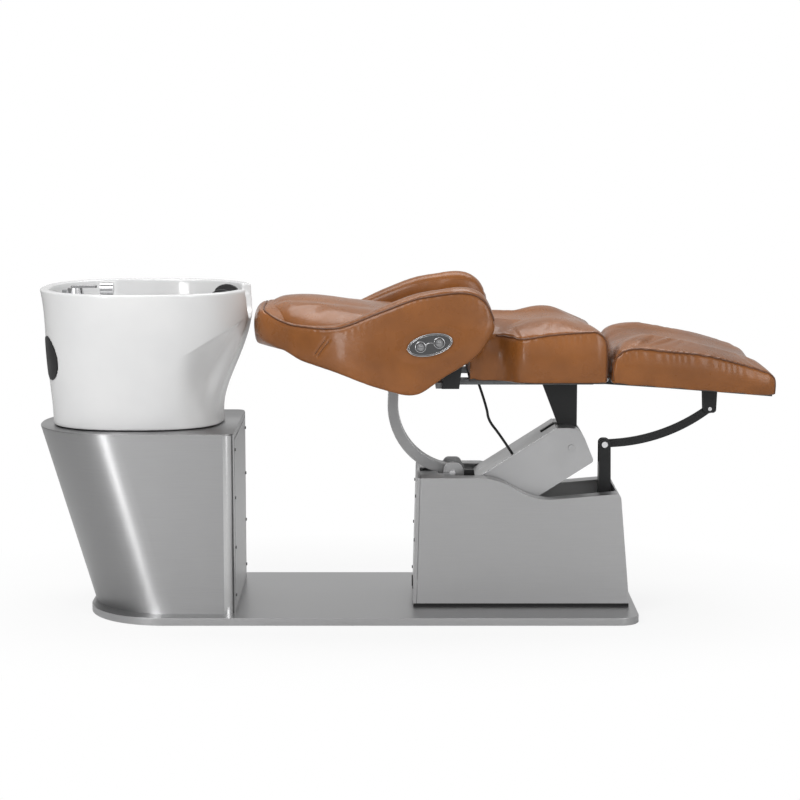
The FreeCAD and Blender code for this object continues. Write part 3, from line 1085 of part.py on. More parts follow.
turn = first.getAngle(second) / 2
bend = S.back_corner_round
centre = corner + (first + second).normalize() * (bend / math.sin(turn))
lean = (centre - corner).normalize()
half = S.back_bar / 2
arcs = []
for radius in (bend + half, bend - half):
    a, b = (corner + v * (bend / math.tan(turn)) - centre for v in (first, second))
    arcs.append([centre + a.normalize() * radius, centre - lean * radius, centre + b.normalize() * radius])
foot_side = (arcs[0][0] - arcs[1][0]).normalize() * half
head_side = (arcs[0][2] - arcs[1][2]).normalize() * half
edges = [Part.makeLine(foot + foot_side, arcs[0][0]), arc(*arcs[0]),
         Part.makeLine(arcs[0][2], head + head_side),
         Part.makeLine(head + head_side, head - head_side), Part.makeLine(head - head_side, arcs[1][2]),
         arc(*reversed(arcs[1])),
         Part.makeLine(arcs[1][0], foot - foot_side), Part.makeLine(foot - foot_side, foot + foot_side)]
node(solid("back_link", bar_shape(flat_wire(edges), S.back_bar_y, (foot, head),
                                  (S.eye_radius, S.head_pin + S.back_slack + S.hinge_plate),
                                  (S.pin_radius + S.pin_fit, S.head_pin + S.back_slack))))

# Control cord from the seat to the lift arm: straight runs and tangent arcs
spots = [Vector(S.cord_top_x, S.cord_y, S.seat_top_plate_z), Vector(S.cord_high_x, S.cord_y, S.cord_high_z),
         Vector(S.cord_mid_x, S.cord_y, S.cord_mid_z), Vector(S.cord_low_x, S.cord_y, S.cord_low_z),
         Vector(S.cord_end_x, S.cord_y, S.cord_end_z)]
edges, start, length = [], spots[0], 0
for before, spot, after in zip(spots, spots[1:], spots[2:]):
    one, two = before - spot, after - spot
    short = min(one.Length, two.Length)
    half_turn = (math.pi - one.getAngle(two)) / 2
    reach_along = 0.45 * short
    radius = reach_along / math.tan(half_turn)
    a = spot + one.normalize() * reach_along
    b = spot + two.normalize() * reach_along
    middle = spot + (one + two).normalize() * (radius / math.cos(half_turn) - radius)
    edges += [Part.makeLine(start, a), arc(a, middle, b)]
    start = b
    print(f"cord bend radius {radius:.1f}")
edges.append(Part.makeLine(start, spots[-1]))
route = Part.Wire(edges)
tube = route.makePipeShell([Part.Wire(Part.makeCircle(S.cord_radius, spots[0], spots[1] - spots[0]))],
                           True, True)
print(f"cord volume share {tube.Volume / (math.pi * S.cord_radius ** 2 * route.Length):.4f}")
node(solid("control_cord", tube))

doc.recompute()
os.makedirs("parts", exist_ok=True)
for obj in doc.Objects:
    if "Invalid" in obj.State or "Error" in obj.State:
        raise ValueError(f"{obj.Label} is {obj.State}")
for obj in NODES:
    if obj.Shape.isNull() or not obj.Shape.isValid() or not obj.Shape.Solids:
        raise ValueError(f"{obj.Label} has no valid shape")
    obj.Shape.exportStep(f"parts/{obj.Label}.step")
print(f"{len(NODES)} nodes")
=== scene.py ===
import json
import math

import bmesh
import bpy
import numpy as np
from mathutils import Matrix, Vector
from mathutils.bvhtree import BVHTree


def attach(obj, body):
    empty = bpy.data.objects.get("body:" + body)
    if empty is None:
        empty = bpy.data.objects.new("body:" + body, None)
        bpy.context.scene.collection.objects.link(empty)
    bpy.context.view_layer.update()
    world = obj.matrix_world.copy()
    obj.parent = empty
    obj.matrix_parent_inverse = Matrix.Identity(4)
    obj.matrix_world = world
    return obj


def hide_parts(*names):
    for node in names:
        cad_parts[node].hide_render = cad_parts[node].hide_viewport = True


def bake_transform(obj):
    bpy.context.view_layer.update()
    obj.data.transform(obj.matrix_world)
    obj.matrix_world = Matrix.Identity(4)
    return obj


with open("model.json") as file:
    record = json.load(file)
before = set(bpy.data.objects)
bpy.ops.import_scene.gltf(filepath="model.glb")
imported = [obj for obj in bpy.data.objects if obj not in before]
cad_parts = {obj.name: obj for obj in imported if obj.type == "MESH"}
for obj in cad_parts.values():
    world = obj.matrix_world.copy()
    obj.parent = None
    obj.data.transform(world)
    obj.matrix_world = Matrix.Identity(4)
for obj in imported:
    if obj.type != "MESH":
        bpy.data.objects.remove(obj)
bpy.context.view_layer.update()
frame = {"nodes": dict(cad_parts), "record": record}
NODES = frame["nodes"]
scene = bpy.context.scene
scene.view_settings.view_transform = "Standard"

# Camera at the photograph's place
LENS_MM = 100.7
SENSOR_MM = 36
CAMERA_PLACE = (0.099, -5.88, 1.347)
CAMERA_TILT = math.radians(82.24)
camera = bpy.data.cameras.new("camera")
camera.lens = LENS_MM
camera.sensor_width = SENSOR_MM
view = bpy.data.objects.new("camera", camera)
view.location = CAMERA_PLACE
view.rotation_euler = (CAMERA_TILT, 0, 0)
scene.collection.objects.link(view)
scene.camera = view

# Mesh helpers, with sharp angles in degrees
WELD = 2e-5
PLAIN_SHARP = 30
EDGE_SHARP = 32
TURNED_SHARP = 38


def add_object(name, mesh):
    obj = bpy.data.objects.new(name, mesh)
    scene.collection.objects.link(obj)
    return obj


def build(name, verts, faces):
    mesh = bpy.data.meshes.new(name)
    mesh.from_pydata([tuple(v) for v in verts], [], faces)
    mesh.update()
    smooth_all(mesh)
    return add_object(name, mesh)


def finish_piece(obj, body, mat, nodes=()):
    obj.data.materials.clear()
    obj.data.materials.append(mat)
    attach(obj, body)
    if nodes:
        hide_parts(*nodes)
    return obj


def bake(obj):
    """Replaces the mesh by what its modifiers make of it."""
    deps = bpy.context.evaluated_depsgraph_get()
    fresh = bpy.data.meshes.new_from_object(obj.evaluated_get(deps))
    obj.modifiers.clear()
    old = obj.data
    obj.data = fresh
    bpy.data.meshes.remove(old)
    return obj


def copy_node(node, name):
    """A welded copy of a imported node's mesh, at its place."""
    obj = add_object(name, NODES[node].data.copy())
    bm = bmesh.new()
    bm.from_mesh(obj.data)
    bmesh.ops.remove_doubles(bm, verts=bm.verts, dist=WELD)
    bm.to_mesh(obj.data)
    bm.free()
    return obj


def vertex_values(mesh, kind):
    flat = np.empty(len(mesh.vertices) * 3)
    mesh.vertices.foreach_get(kind, flat)
    return flat.reshape(-1, 3)


def coords(mesh):
    return vertex_values(mesh, "co")


def normals(mesh):
    return vertex_values(mesh, "normal")


def set_coords(mesh, points):
    mesh.vertices.foreach_set("co", np.asarray(points).ravel())
    mesh.update()


def ease(values):
    """A smooth step from 0 to 1."""
    values = np.clip(values, 0, 1)
    return values * values * (3 - 2 * values)


def smooth_all(mesh, sharp=None):
    """Smooth shading, with edges past the sharp angle kept where one is given."""
    mesh.polygons.foreach_set("use_smooth", [True] * len(mesh.polygons))
    if sharp:
        mesh.set_sharp_from_angle(angle=math.radians(sharp))


def sweep(name, points, radius, sides, closed=False):
    """A round tube along the points."""
    points = np.asarray(points, float)
    count = len(points)
    if closed:
        tangents = np.roll(points, -1, 0) - np.roll(points, 1, 0)
    else:
        tangents = np.gradient(points, axis=0)
    tangents /= np.linalg.norm(tangents, axis=1)[:, None]
    side = np.cross(tangents[0], (0, 0, 1.0))
    if np.linalg.norm(side) < 0.1:
        side = np.cross(tangents[0], (0, 1.0, 0))
    verts, faces = [], []
    for i in range(count):
        side = side - tangents[i] * np.dot(side, tangents[i])
        side /= np.linalg.norm(side)
        up = np.cross(tangents[i], side)
        for k in range(sides):
            turn = 2 * math.pi * k / sides
            verts.append(points[i] + radius * (math.cos(turn) * side + math.sin(turn) * up))
    for i in range(count if closed else count - 1):
        a, b = i * sides, (i + 1) % count * sides
        for k in range(sides):
            m = (k + 1) % sides
            faces.append((a + k, b + k, b + m, a + m))
    if not closed:
        faces.append(tuple(range(sides)))
        faces.append(tuple(range((count - 1) * sides, count * sides))[::-1])
    return build(name, verts, faces)


def spline(points, count):
    """A smooth line through the points, by a natural cubic in chord length."""
    points = np.asarray(points, float)
    gaps = np.linalg.norm(np.diff(points, axis=0), axis=1)
    spots = np.concatenate([[0], np.cumsum(gaps)])
    size = len(points)
    matrix, right = np.eye(size), np.zeros((size, points.shape[1]))
    for i in range(1, size - 1):
        a, b = gaps[i - 1], gaps[i]
        matrix[i, i - 1:i + 2] = a, 2 * (a + b), b
        right[i] = 6 * ((points[i + 1] - points[i]) / b - (points[i] - points[i - 1]) / a)
    bend = np.linalg.solve(matrix, right)
    where = np.linspace(0, spots[-1], count)
    cell = np.clip(np.searchsorted(spots, where, side="right") - 1, 0, size - 2)
    h = gaps[cell][:, None]
    t = (where - spots[cell])[:, None]
    low, high = points[cell], points[cell + 1]
    m0, m1 = bend[cell], bend[cell + 1]
    slope = (high - low) / h - h * (2 * m0 + m1) / 6
    return low + slope * t + m0 * t ** 2 / 2 + (m1 - m0) * t ** 3 / (6 * h)


def lathe(name, profile, steps, place, axis):
    """A turned shape: profile of (radius, height) along the axis from the place."""
    axis = Vector(axis).normalized()
    turn = Vector((0, 0, 1)).rotation_difference(axis)
    verts, faces = [], []
    for radius, height in profile:
        for k in range(steps):
            a = 2 * math.pi * k / steps
            spot = turn @ Vector((radius * math.cos(a), radius * math.sin(a), height))
            verts.append(spot + Vector(place))
    for i in range(len(profile) - 1):
        for k in range(steps):
            m = (k + 1) % steps
            faces.append((i * steps + k, i * steps + m, (i + 1) * steps + m, (i + 1) * steps + k))
    faces.append(tuple(range(steps))[::-1])
    faces.append(tuple(range((len(profile) - 1) * steps, len(profile) * steps)))
    obj = build(name, verts, faces)
    smooth_all(obj.data, TURNED_SHARP)
    return obj


# Materials: the part of a noise that is used, and the mix node's colour sockets
NOISE_LOW = 0.3
NOISE_HIGH = 0.7
MIX_FIRST, MIX_SECOND, MIX_RESULT = 6, 7, 2


class Paint:
    """A principled material with textures on its inputs."""

    def __init__(self, name, colour, metal=0.0, rough=0.4, coat=0.0, coat_rough=0.1, shine=0.5):
        self.mat = bpy.data.materials.new(name)
        self.mat.use_nodes = True
        self.nodes = self.mat.node_tree.nodes
        self.links = self.mat.node_tree.links
        self.shader = self.nodes["Principled BSDF"]
        self.shader.inputs["Base Color"].default_value = (*colour, 1)
        self.shader.inputs["Metallic"].default_value = metal
        self.shader.inputs["Roughness"].default_value = rough
        self.shader.inputs["Coat Weight"].default_value = coat
        self.shader.inputs["Coat Roughness"].default_value = coat_rough
        self.shader.inputs["Specular IOR Level"].default_value = shine
        self.place = self.nodes.new("ShaderNodeTexCoord").outputs["Object"]
        self.bumped = None

    def stretched(self, scale):
        node = self.nodes.new("ShaderNodeMapping")
        node.inputs["Scale"].default_value = scale
        self.links.new(self.place, node.inputs["Vector"])
        return node.outputs["Vector"]

    def noise(self, scale, detail, rough=0.55, vector=None):
        node = self.nodes.new("ShaderNodeTexNoise")
        node.inputs["Scale"].default_value = scale
        node.inputs["Detail"].default_value = detail
        node.inputs["Roughness"].default_value = rough
        self.links.new(vector or self.place, node.inputs["Vector"])
        return node.outputs["Fac"]

    def cells(self, scale):
        node = self.nodes.new("ShaderNodeTexVoronoi")
        node.inputs["Scale"].default_value = scale
        self.links.new(self.place, node.inputs["Vector"])
        return node.outputs["Distance"]

    def spread(self, value, low, high, start=NOISE_LOW, end=NOISE_HIGH):
        node = self.nodes.new("ShaderNodeMapRange")
        for name, number in (("From Min", start), ("From Max", end), ("To Min", low), ("To Max", high)):
            node.inputs[name].default_value = number
        self.links.new(value, node.inputs["Value"])
        return node.outputs["Result"]

    def tint(self, value, low, high):
        ramp = self.nodes.new("ShaderNodeValToRGB")
        ramp.color_ramp.elements[0].position = NOISE_LOW
        ramp.color_ramp.elements[1].position = NOISE_HIGH
        ramp.color_ramp.elements[0].color = (*low, 1)
        ramp.color_ramp.elements[1].color = (*high, 1)
        self.links.new(value, ramp.inputs["Fac"])
        return ramp.outputs["Color"]

    def blend(self, factor, first, second):
        """Mixes a colour socket with another one or with a plain colour."""
        node = self.nodes.new("ShaderNodeMix")
        node.data_type = "RGBA"
        self.links.new(factor, node.inputs["Factor"])
        self.links.new(first, node.inputs[MIX_FIRST])
        if isinstance(second, tuple):
            node.inputs[MIX_SECOND].default_value = (*second, 1)
        else:
            self.links.new(second, node.inputs[MIX_SECOND])
        return node.outputs[MIX_RESULT]

    def colour(self, socket):
        self.links.new(socket, self.shader.inputs["Base Color"])

    def roughness(self, socket):
        self.links.new(socket, self.shader.inputs["Roughness"])

    def bump(self, height, strength, distance):
        node = self.nodes.new("ShaderNodeBump")
        node.inputs["Strength"].default_value = strength
        node.inputs["Distance"].default_value = distance
        self.links.new(height, node.inputs["Height"])
        if self.bumped:
            self.links.new(self.bumped, node.inputs["Normal"])
        self.bumped = node.outputs["Normal"]
        self.links.new(self.bumped, self.shader.inputs["Normal"])


def leather(name, low, high, rough):
    p = Paint(name, high, rough=rough, coat=0.22, coat_rough=0.15, shine=0.22)
    broad = p.noise(7, 3)
    fine = p.noise(140, 3)
    p.colour(p.blend(p.spread(fine, 0, 0.14), p.tint(broad, low, high), low))
    p.roughness(p.spread(p.noise(22, 4), rough - 0.07, rough + 0.1))
    p.bump(p.noise(38, 3), 0.1, 0.003)
    p.bump(p.cells(620), 0.3, 0.0006)
    return p.mat


def steel(name, colour, rough, lines, drawn=0.0):
    p = Paint(name, colour, metal=1.0, rough=rough)
    if drawn:
        across = p.nodes.new("ShaderNodeTangent")
        across.direction_type = "RADIAL"
        across.axis = "Z"
        p.links.new(across.outputs["Tangent"], p.shader.inputs["Tangent"])
        p.shader.inputs["Anisotropic"].default_value = drawn
        p.shader.inputs["Anisotropic Rotation"].default_value = 0.25
    brush = p.noise(1.0, 3, 0.6, p.stretched(lines))
    cloud = p.noise(3.0, 2)
    low = tuple(c * 0.92 for c in colour)
    high = tuple(min(1.0, c * 1.07) for c in colour)
    p.colour(p.blend(p.spread(cloud, 0.2, 0.8), p.tint(brush, low, high), p.tint(brush, colour, high)))
    p.roughness(p.spread(brush, rough - 0.05, rough + 0.06))
    p.bump(brush, 0.03, 0.0004)
    return p.mat


def polished(name, colour, rough):
    p = Paint(name, colour, metal=1.0, rough=rough)
    p.roughness(p.spread(p.noise(60, 3), rough * 0.6, rough * 1.7))
    p.bump(p.noise(900, 2), 0.02, 0.0002)
    return p.mat


def painted(name, colour, metal, rough, grain, lift, coat=0.0, shine=0.5):
    p = Paint(name, colour, metal=metal, rough=rough, coat=coat, shine=shine)
    speck = p.noise(grain, 3)
    p.colour(p.tint(speck, tuple(c * 0.82 for c in colour), tuple(min(1, c * 1.16) for c in colour)))
    p.roughness(p.spread(p.noise(12, 4), rough - 0.06, rough + 0.1))
    p.bump(speck, lift, 0.0006)
    return p.mat


LEATHER = leather("tan_leather", (0.15, 0.052, 0.012), (0.24, 0.085, 0.0195), 0.3)
PIPING = leather("piping_leather", (0.07, 0.024, 0.008), (0.11, 0.038, 0.012), 0.4)
THREAD = painted("stitch_thread", (0.075, 0.028, 0.011), 0, 0.7, 900, 0.4)
BODY_STEEL = steel("brushed_steel", (0.33, 0.33, 0.333), 0.36, (12, 12, 2600), 0.85)
PLATE_STEEL = steel("plate_steel", (0.42, 0.42, 0.424), 0.32, (12, 2600, 2600))
# a lighter copy of the brushed steel for the chair base and its deck plates: painted light, brightening the
# box that renders darker than the pedestal under the lamps
BASE_STEEL_PAINTED_LIGHT = steel("chair_base_steel_painted_light", (0.41, 0.41, 0.413), 0.36, (12, 12, 2600), 0.85)
TRIM_STEEL = steel("trim_steel", (0.5, 0.5, 0.503), 0.2, (900, 900, 12))
GUNMETAL = steel("panel_gunmetal", (0.1, 0.1, 0.102), 0.3, (60, 900, 900))
CHROME = polished("chrome", (0.72, 0.72, 0.73), 0.09)
TAP_CHROME = polished("tap_chrome", (0.5, 0.5, 0.507), 0.1)
BUTTON = polished("button_chrome", (0.3, 0.3, 0.305), 0.14)
SILVER = painted("silver_paint", (0.36, 0.36, 0.364), 0.55, 0.34, 1400, 0.05, 0.2)
# the lift arm's lid takes a lighter copy of the silver paint: painted light, standing for the light on its
# upward face
SILVER_PAINTED_TOP_LIGHT = painted("lid_silver_painted_top_light", (0.47, 0.47, 0.474), 0.55, 0.32, 1400, 0.05, 0.2)
DARK = painted("dark_paint", (0.019, 0.0195, 0.02), 0, 0.4, 700, 0.25, shine=0.2)
GREY = painted("grey_paint", (0.13, 0.134, 0.138), 0.1, 0.45, 700, 0.2)
RUBBER = painted("black_rubber", (0.008, 0.008, 0.0085), 0, 0.5, 500, 0.35, shine=0.2)
PLASTIC = painted("black_plastic", (0.01, 0.01, 0.0105), 0, 0.4, 900, 0.2, shine=0.2)
GREY_PLASTIC = painted("grey_plastic", (0.27, 0.275, 0.28), 0.2, 0.42, 900, 0.15)
WOOD = painted("board", (0.035, 0.03, 0.027), 0, 0.62, 160, 0.35)
glaze = Paint("ceramic", (0.6, 0.6, 0.6), rough=0.18, coat=0.22, coat_rough=0.08)
glaze.colour(glaze.tint(glaze.noise(5, 3), (0.575, 0.577, 0.58), (0.615, 0.615, 0.613)))
glaze.roughness(glaze.spread(glaze.noise(14, 3), 0.14, 0.22))
glaze.bump(glaze.noise(26, 3), 0.025, 0.004)
CERAMIC = glaze.mat

# the finish of each material slot, and of nodes that look different from their slot
FINISH = {
    "plate_steel": PLATE_STEEL, "brushed_steel": BODY_STEEL, "chrome": CHROME, "ceramic": CERAMIC,
    "black_rubber": RUBBER, "black_plastic": PLASTIC, "grey_plastic": GREY_PLASTIC,
    "silver_paint": SILVER, "dark_paint": DARK, "grey_paint": GREY, "leather": LEATHER, "board": WOOD,
    "button_chrome": BUTTON,
}
LOOK = {
    # the lid's lighter silver is painted top light
    "lift_arm_pins": SILVER, "lift_arm_lid": SILVER_PAINTED_TOP_LIGHT, "panel_face": GUNMETAL,
    # the chair base's lighter steel is painted light
    "panel_bezel": GUNMETAL, "chair_base_shell": BASE_STEEL_PAINTED_LIGHT, "chair_base_end_panel": BASE_STEEL_PAINTED_LIGHT,
    "mixer_body": TAP_CHROME, "mixer_cap": TAP_CHROME, "mixer_lever": TAP_CHROME,
    "shower_handset": TAP_CHROME, "shower_holder": TAP_CHROME, "panel_screws": GUNMETAL,
    # the seat's hinge plates take the dark paint as painted shade, standing for the shadow in the gap beside
    # the seat
    "end_panel_screws": GUNMETAL, "corner_trims": TRIM_STEEL, "seat_hinge_plates": DARK,
    "back_link_lugs": SILVER,
}
BODY_OF = {node: body for body, members in frame["record"]["behaviour"]["bodies"].items()
           for node in members}
SLOT_OF = {entry["node"]: entry["material_slot"] for entry in frame["record"]["subparts"]}

# The control cord, from the seat's underside to the lift arm's lid
ROUTE = [(0.303, 0.604), (0.327, 0.535), (0.331, 0.5), (0.362, 0.462), (0.3941, 0.4123)]
CORD_Y = -0.06
CORD_RADIUS = 0.0035
CORD_SIDES = 14
curve = bpy.data.curves.new("cord_route", "CURVE")
curve.dimensions = "3D"
line = curve.splines.new("NURBS")
line.points.add(len(ROUTE) - 1)
for point, (x, z) in zip(line.points, ROUTE):
    point.co = (x, CORD_Y, z, 1)
line.order_u = 3
line.use_endpoint_u = True
line.resolution_u = 16
route = add_object("cord_route", curve)
deps = bpy.context.evaluated_depsgraph_get()
line_mesh = bpy.data.meshes.new_from_object(route.evaluated_get(deps))
cord_points = [tuple(v.co) for v in line_mesh.vertices]
bpy.data.objects.remove(route)
cord = sweep("control_cord_tube", cord_points, CORD_RADIUS, CORD_SIDES)
cord.data.materials.append(RUBBER)
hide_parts("control_cord")
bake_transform(cord)

# Hard pieces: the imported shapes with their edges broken
ON_WALL = 0.0004
FOLD_SEGMENTS = 6
BEVEL_SEGMENTS = 2
FLAT_ANGLE = math.radians(0.6)
BEVEL_ANGLE = math.radians(35)
# half width of the wall, way the deck faces, and radius, for each folded edge
FOLDS = {
    "chair_base_shell": ((0.145, 1, 0.013), (0.1425, -1, 0.0105)),
    "chair_base_end_panel": ((0.145, 1, 0.013),),
}


def round_top(bm, face_y, up, radius):
    """Rounds the long edges between a side wall at face_y and the deck."""
    edges = []
    for edge in bm.edges:
        if len(edge.link_faces) != 2 or any(abs(abs(v.co.y) - face_y) > ON_WALL for v in edge.verts):
            continue
        walls = [f for f in edge.link_faces if abs(f.normal.y) > 0.9]
        decks = [f for f in edge.link_faces if f.normal.z * up > 0.2]
        if walls and decks:
            edges.append(edge)
    bmesh.ops.bevel(bm, geom=edges, offset=radius, offset_type="OFFSET", segments=FOLD_SEGMENTS,
                    profile=0.5, affect="EDGES", clamp_overlap=True)


def dress(node, width):
    """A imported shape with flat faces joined, folds rounded and edges broken by the width."""
    obj = copy_node(node, node + "_piece")
    bm = bmesh.new()
    bm.from_mesh(obj.data)
    bmesh.ops.dissolve_limit(bm, angle_limit=FLAT_ANGLE, verts=bm.verts, edges=bm.edges)
    for face_y, up, radius in FOLDS.get(node, ()):
        round_top(bm, face_y, up, radius)
    bm.to_mesh(obj.data)
    bm.free()
    bevel = obj.modifiers.new("edges", "BEVEL")
    bevel.width = width
    bevel.segments = BEVEL_SEGMENTS
    bevel.limit_method = "ANGLE"
    bevel.angle_limit = BEVEL_ANGLE
    bake(obj)
    smooth_all(obj.data, EDGE_SHARP)
    even = obj.modifiers.new("even", "WEIGHTED_NORMAL")
    even.keep_sharp = True
    bake(obj)
    slot = SLOT_OF[node]
    return finish_piece(obj, BODY_OF[node], LOOK.get(node, FINISH[slot]), (node,))


# width of the broken edges of each piece
EDGES = {
    "base_cover": 0.0015, "pedestal_deck": 0.0008, "pedestal_front_panel": 0.0006,
    "chair_base_shell": 0.0011, "chair_base_end_panel": 0.001, "lift_arm_housing": 0.0013,
    "lift_arm_lid": 0.001, "seat_post": 0.0012, "leg_stanchion": 0.0012, "leg_link": 0.0012,
    "back_link": 0.003, "back_link_lugs": 0.001, "legrest_bracket": 0.001, "legrest_rails": 0.001,
    "seat_frame": 0.0015, "seat_hinge_plates": 0.0008, "back_frame": 0.0008, "back_board": 0.001,
    "seat_board": 0.0012, "legrest_board": 0.0012, "mixer_body": 0.0015, "mixer_lever": 0.0018,
    "shower_holder": 0.0014, "control_box": 0.002, "mains_inlet": 0.001, "limit_switch": 0.001,
    "hose_guide": 0.003, "panel_bezel": 0.0012, "panel_face": 0.0006, "chassis": 0.001,
}
EARS_FROM_Z = 0.352
EARS_TO_X = 0.29


def bright_ears(piece):
    """The ears of the back link's pivot are bare metal above the dark tower."""
    bm = bmesh.new()
    bm.from_mesh(piece.data)
    parts = bm.verts[:] + bm.edges[:] + bm.faces[:]
    bmesh.ops.bisect_plane(bm, geom=parts, plane_co=(0, 0, EARS_FROM_Z), plane_no=(0, 0, 1))
    for face in bm.faces:
        middle = face.calc_center_median()
        face.material_index = int(middle.x < EARS_TO_X and middle.z > EARS_FROM_Z)
    bm.to_mesh(piece.data)
    bm.free()
    piece.data.materials.append(SILVER)


for node, width in EDGES.items():
    piece = dress(node, width)
    if node == "chassis":
        bright_ears(piece)

# Thin plates that close the chair base's deck on both sides of the back link's foot
DECK_TOP = 0.36
DECK_SHEET = 0.0025
DECK_PLATE = [(0.1515, 0.0985), (0.245, 0.0985), (0.245, 0.064),
              (0.2, 0.064), (0.2, 0.028), (0.1515, 0.028)]
for label, side in (("near", -1), ("far", 1)):
    outline = [(x, side * y) for x, y in DECK_PLATE][::-side]
    count = len(outline)
    verts = [(x, y, z) for z in (DECK_TOP - DECK_SHEET, DECK_TOP) for x, y in outline]
    faces = [tuple(range(count))[::-1], tuple(range(count, 2 * count))]
    faces += [(k, (k + 1) % count, count + (k + 1) % count, count + k) for k in range(count)]
    plate = build("deck_plate_" + label, verts, faces)
    smooth_all(plate.data, PLAIN_SHARP)
    # the deck plates take the chair base's lighter steel, painted light
    finish_piece(plate, "base", BASE_STEEL_PAINTED_LIGHT)

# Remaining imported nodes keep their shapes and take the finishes
for node, obj in NODES.items():
    obj.data.materials.clear()
    obj.data.materials.append(LOOK.get(node, FINISH[SLOT_OF[node]]))
    smooth_all(obj.data, PLAIN_SHARP)

# Soft pieces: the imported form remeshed, swelled as cloth and finished with piping
LEATHER_VOXEL = 0.006
SEAM_REACH = 0.006
SEAM_DEPTH = 0.003
SEAM_WIDTH = 0.006
CLOTH_PRESSURE = 4.0
CLOTH_FRAMES = 20
RESTS_BELOW = -0.75
KEPT_BELOW = -0.6
FAR_AWAY = 9.0
PUCKER_ALONG, PUCKER_SWAY, PUCKER_ACROSS = 310, 47, 90
PIPING_RADIUS = 0.0026
PIPING_LIFT = 0.0004
PIPING_SIDES = 10
THREAD_LENGTH = 0.0046
THREAD_STEP = 0.0062
THREAD_RADIUS = 0.001
THREAD_SIDES = 6
# place along a stitch, and share of its radius there
THREAD_RINGS = ((0.0, 0.35), (0.2, 1.0), (0.8, 1.0), (1.0, 0.35))


def relax(obj, rounds):
    soft = obj.modifiers.new("relax", "SMOOTH")
    soft.iterations = rounds
    soft.factor = 0.5
    return bake(obj)


def remesh(obj, voxel, rounds):
    mod = obj.modifiers.new("voxels", "REMESH")
    mod.mode = "VOXEL"
    mod.voxel_size = voxel
    bake(obj)
    return relax(obj, rounds)


def near_line(points, lines):
    """Distance of each point from the nearest spot of the lines."""
    best = np.full(len(points), FAR_AWAY)
    for spots in lines:
        for spot in spots:
            best = np.minimum(best, np.linalg.norm(points - spot, axis=1))
    return best


def swell(obj, lines, cap):
    """Cloth under pressure, held at the seams and where the piece rests, moved by the cap at most."""
    mesh = obj.data
    rest = coords(mesh)
    facing = normals(mesh)
    held = near_line(rest, lines) < SEAM_REACH
    held |= facing[:, 2] < RESTS_BELOW
    group = obj.vertex_groups.new(name="held")
    group.add([int(i) for i in np.nonzero(held)[0]], 1.0, "REPLACE")
    mod = obj.modifiers.new("cloth", "CLOTH")
    settings = mod.settings
    settings.quality = 5
    settings.mass = 0.3
    settings.tension_stiffness = 12
    settings.compression_stiffness = 12
    settings.shear_stiffness = 4
    settings.bending_stiffness = 0.4
    settings.use_pressure = True
    settings.uniform_pressure_force = CLOTH_PRESSURE
    settings.vertex_group_mass = "held"
    settings.effector_weights.gravity = 0
    mod.point_cache.frame_start = 1
    mod.point_cache.frame_end = CLOTH_FRAMES
    for number in range(1, CLOTH_FRAMES + 1):
        scene.frame_set(number)
    deps = bpy.context.evaluated_depsgraph_get()
    moved = coords(obj.evaluated_get(deps).data)
    move = moved - rest
    size = np.linalg.norm(move, axis=1)
    move *= (np.minimum(size, cap) / np.maximum(size, 1e-9))[:, None]
    obj.modifiers.clear()
    obj.vertex_groups.clear()
    set_coords(mesh, rest + move)
    scene.frame_set(1)


def shrink(obj, depth):
    """Draws the skin in, apart from the underside."""
    mesh = obj.data
    points, facing = coords(mesh), normals(mesh)
    share = np.where(facing[:, 2] < KEPT_BELOW, 0.0, 1.0)
    set_coords(mesh, points - facing * (depth * share)[:, None])


def subdivide(obj):
    mod = obj.modifiers.new("fine", "SUBSURF")
    mod.levels = 1
    mod.render_levels = 1
    return bake(obj)


def tree_of(obj):
    mesh = obj.data
    mesh.calc_loop_triangles()
    return BVHTree.FromPolygons([v.co for v in mesh.vertices], [t.vertices for t in mesh.loop_triangles])


def settle(points, tree, lift):
    """The points laid on a surface and evened out along their line."""
    spots = []
    for point in points:
        near, normal, _, _ = tree.find_nearest(Vector(point))
        spots.append(np.array(near) + np.array(normal) * lift)
    spots = np.array(spots)
    for _ in range(3):
        spots[1:-1] = (spots[:-2] + 2 * spots[1:-1] + spots[2:]) / 4
    return spots


def groove(obj, lines, depth, width, pucker):
    """Draws the skin in along a seam, with small puckers beside it."""
    mesh = obj.data
    points, facing = coords(mesh), normals(mesh)
    gap = near_line(points, lines)
    along, across = points[:, 0], points[:, 1]
    phase = along * PUCKER_ALONG + 3 * np.sin(along * PUCKER_SWAY) + across * PUCKER_ACROSS
    wave = 0.5 + 0.5 * np.sin(phase)
    dent = depth * np.exp(-(gap / width) ** 2) + pucker * wave * np.exp(-(gap / (width * 4)) ** 2)
    set_coords(mesh, points - facing * dent[:, None])


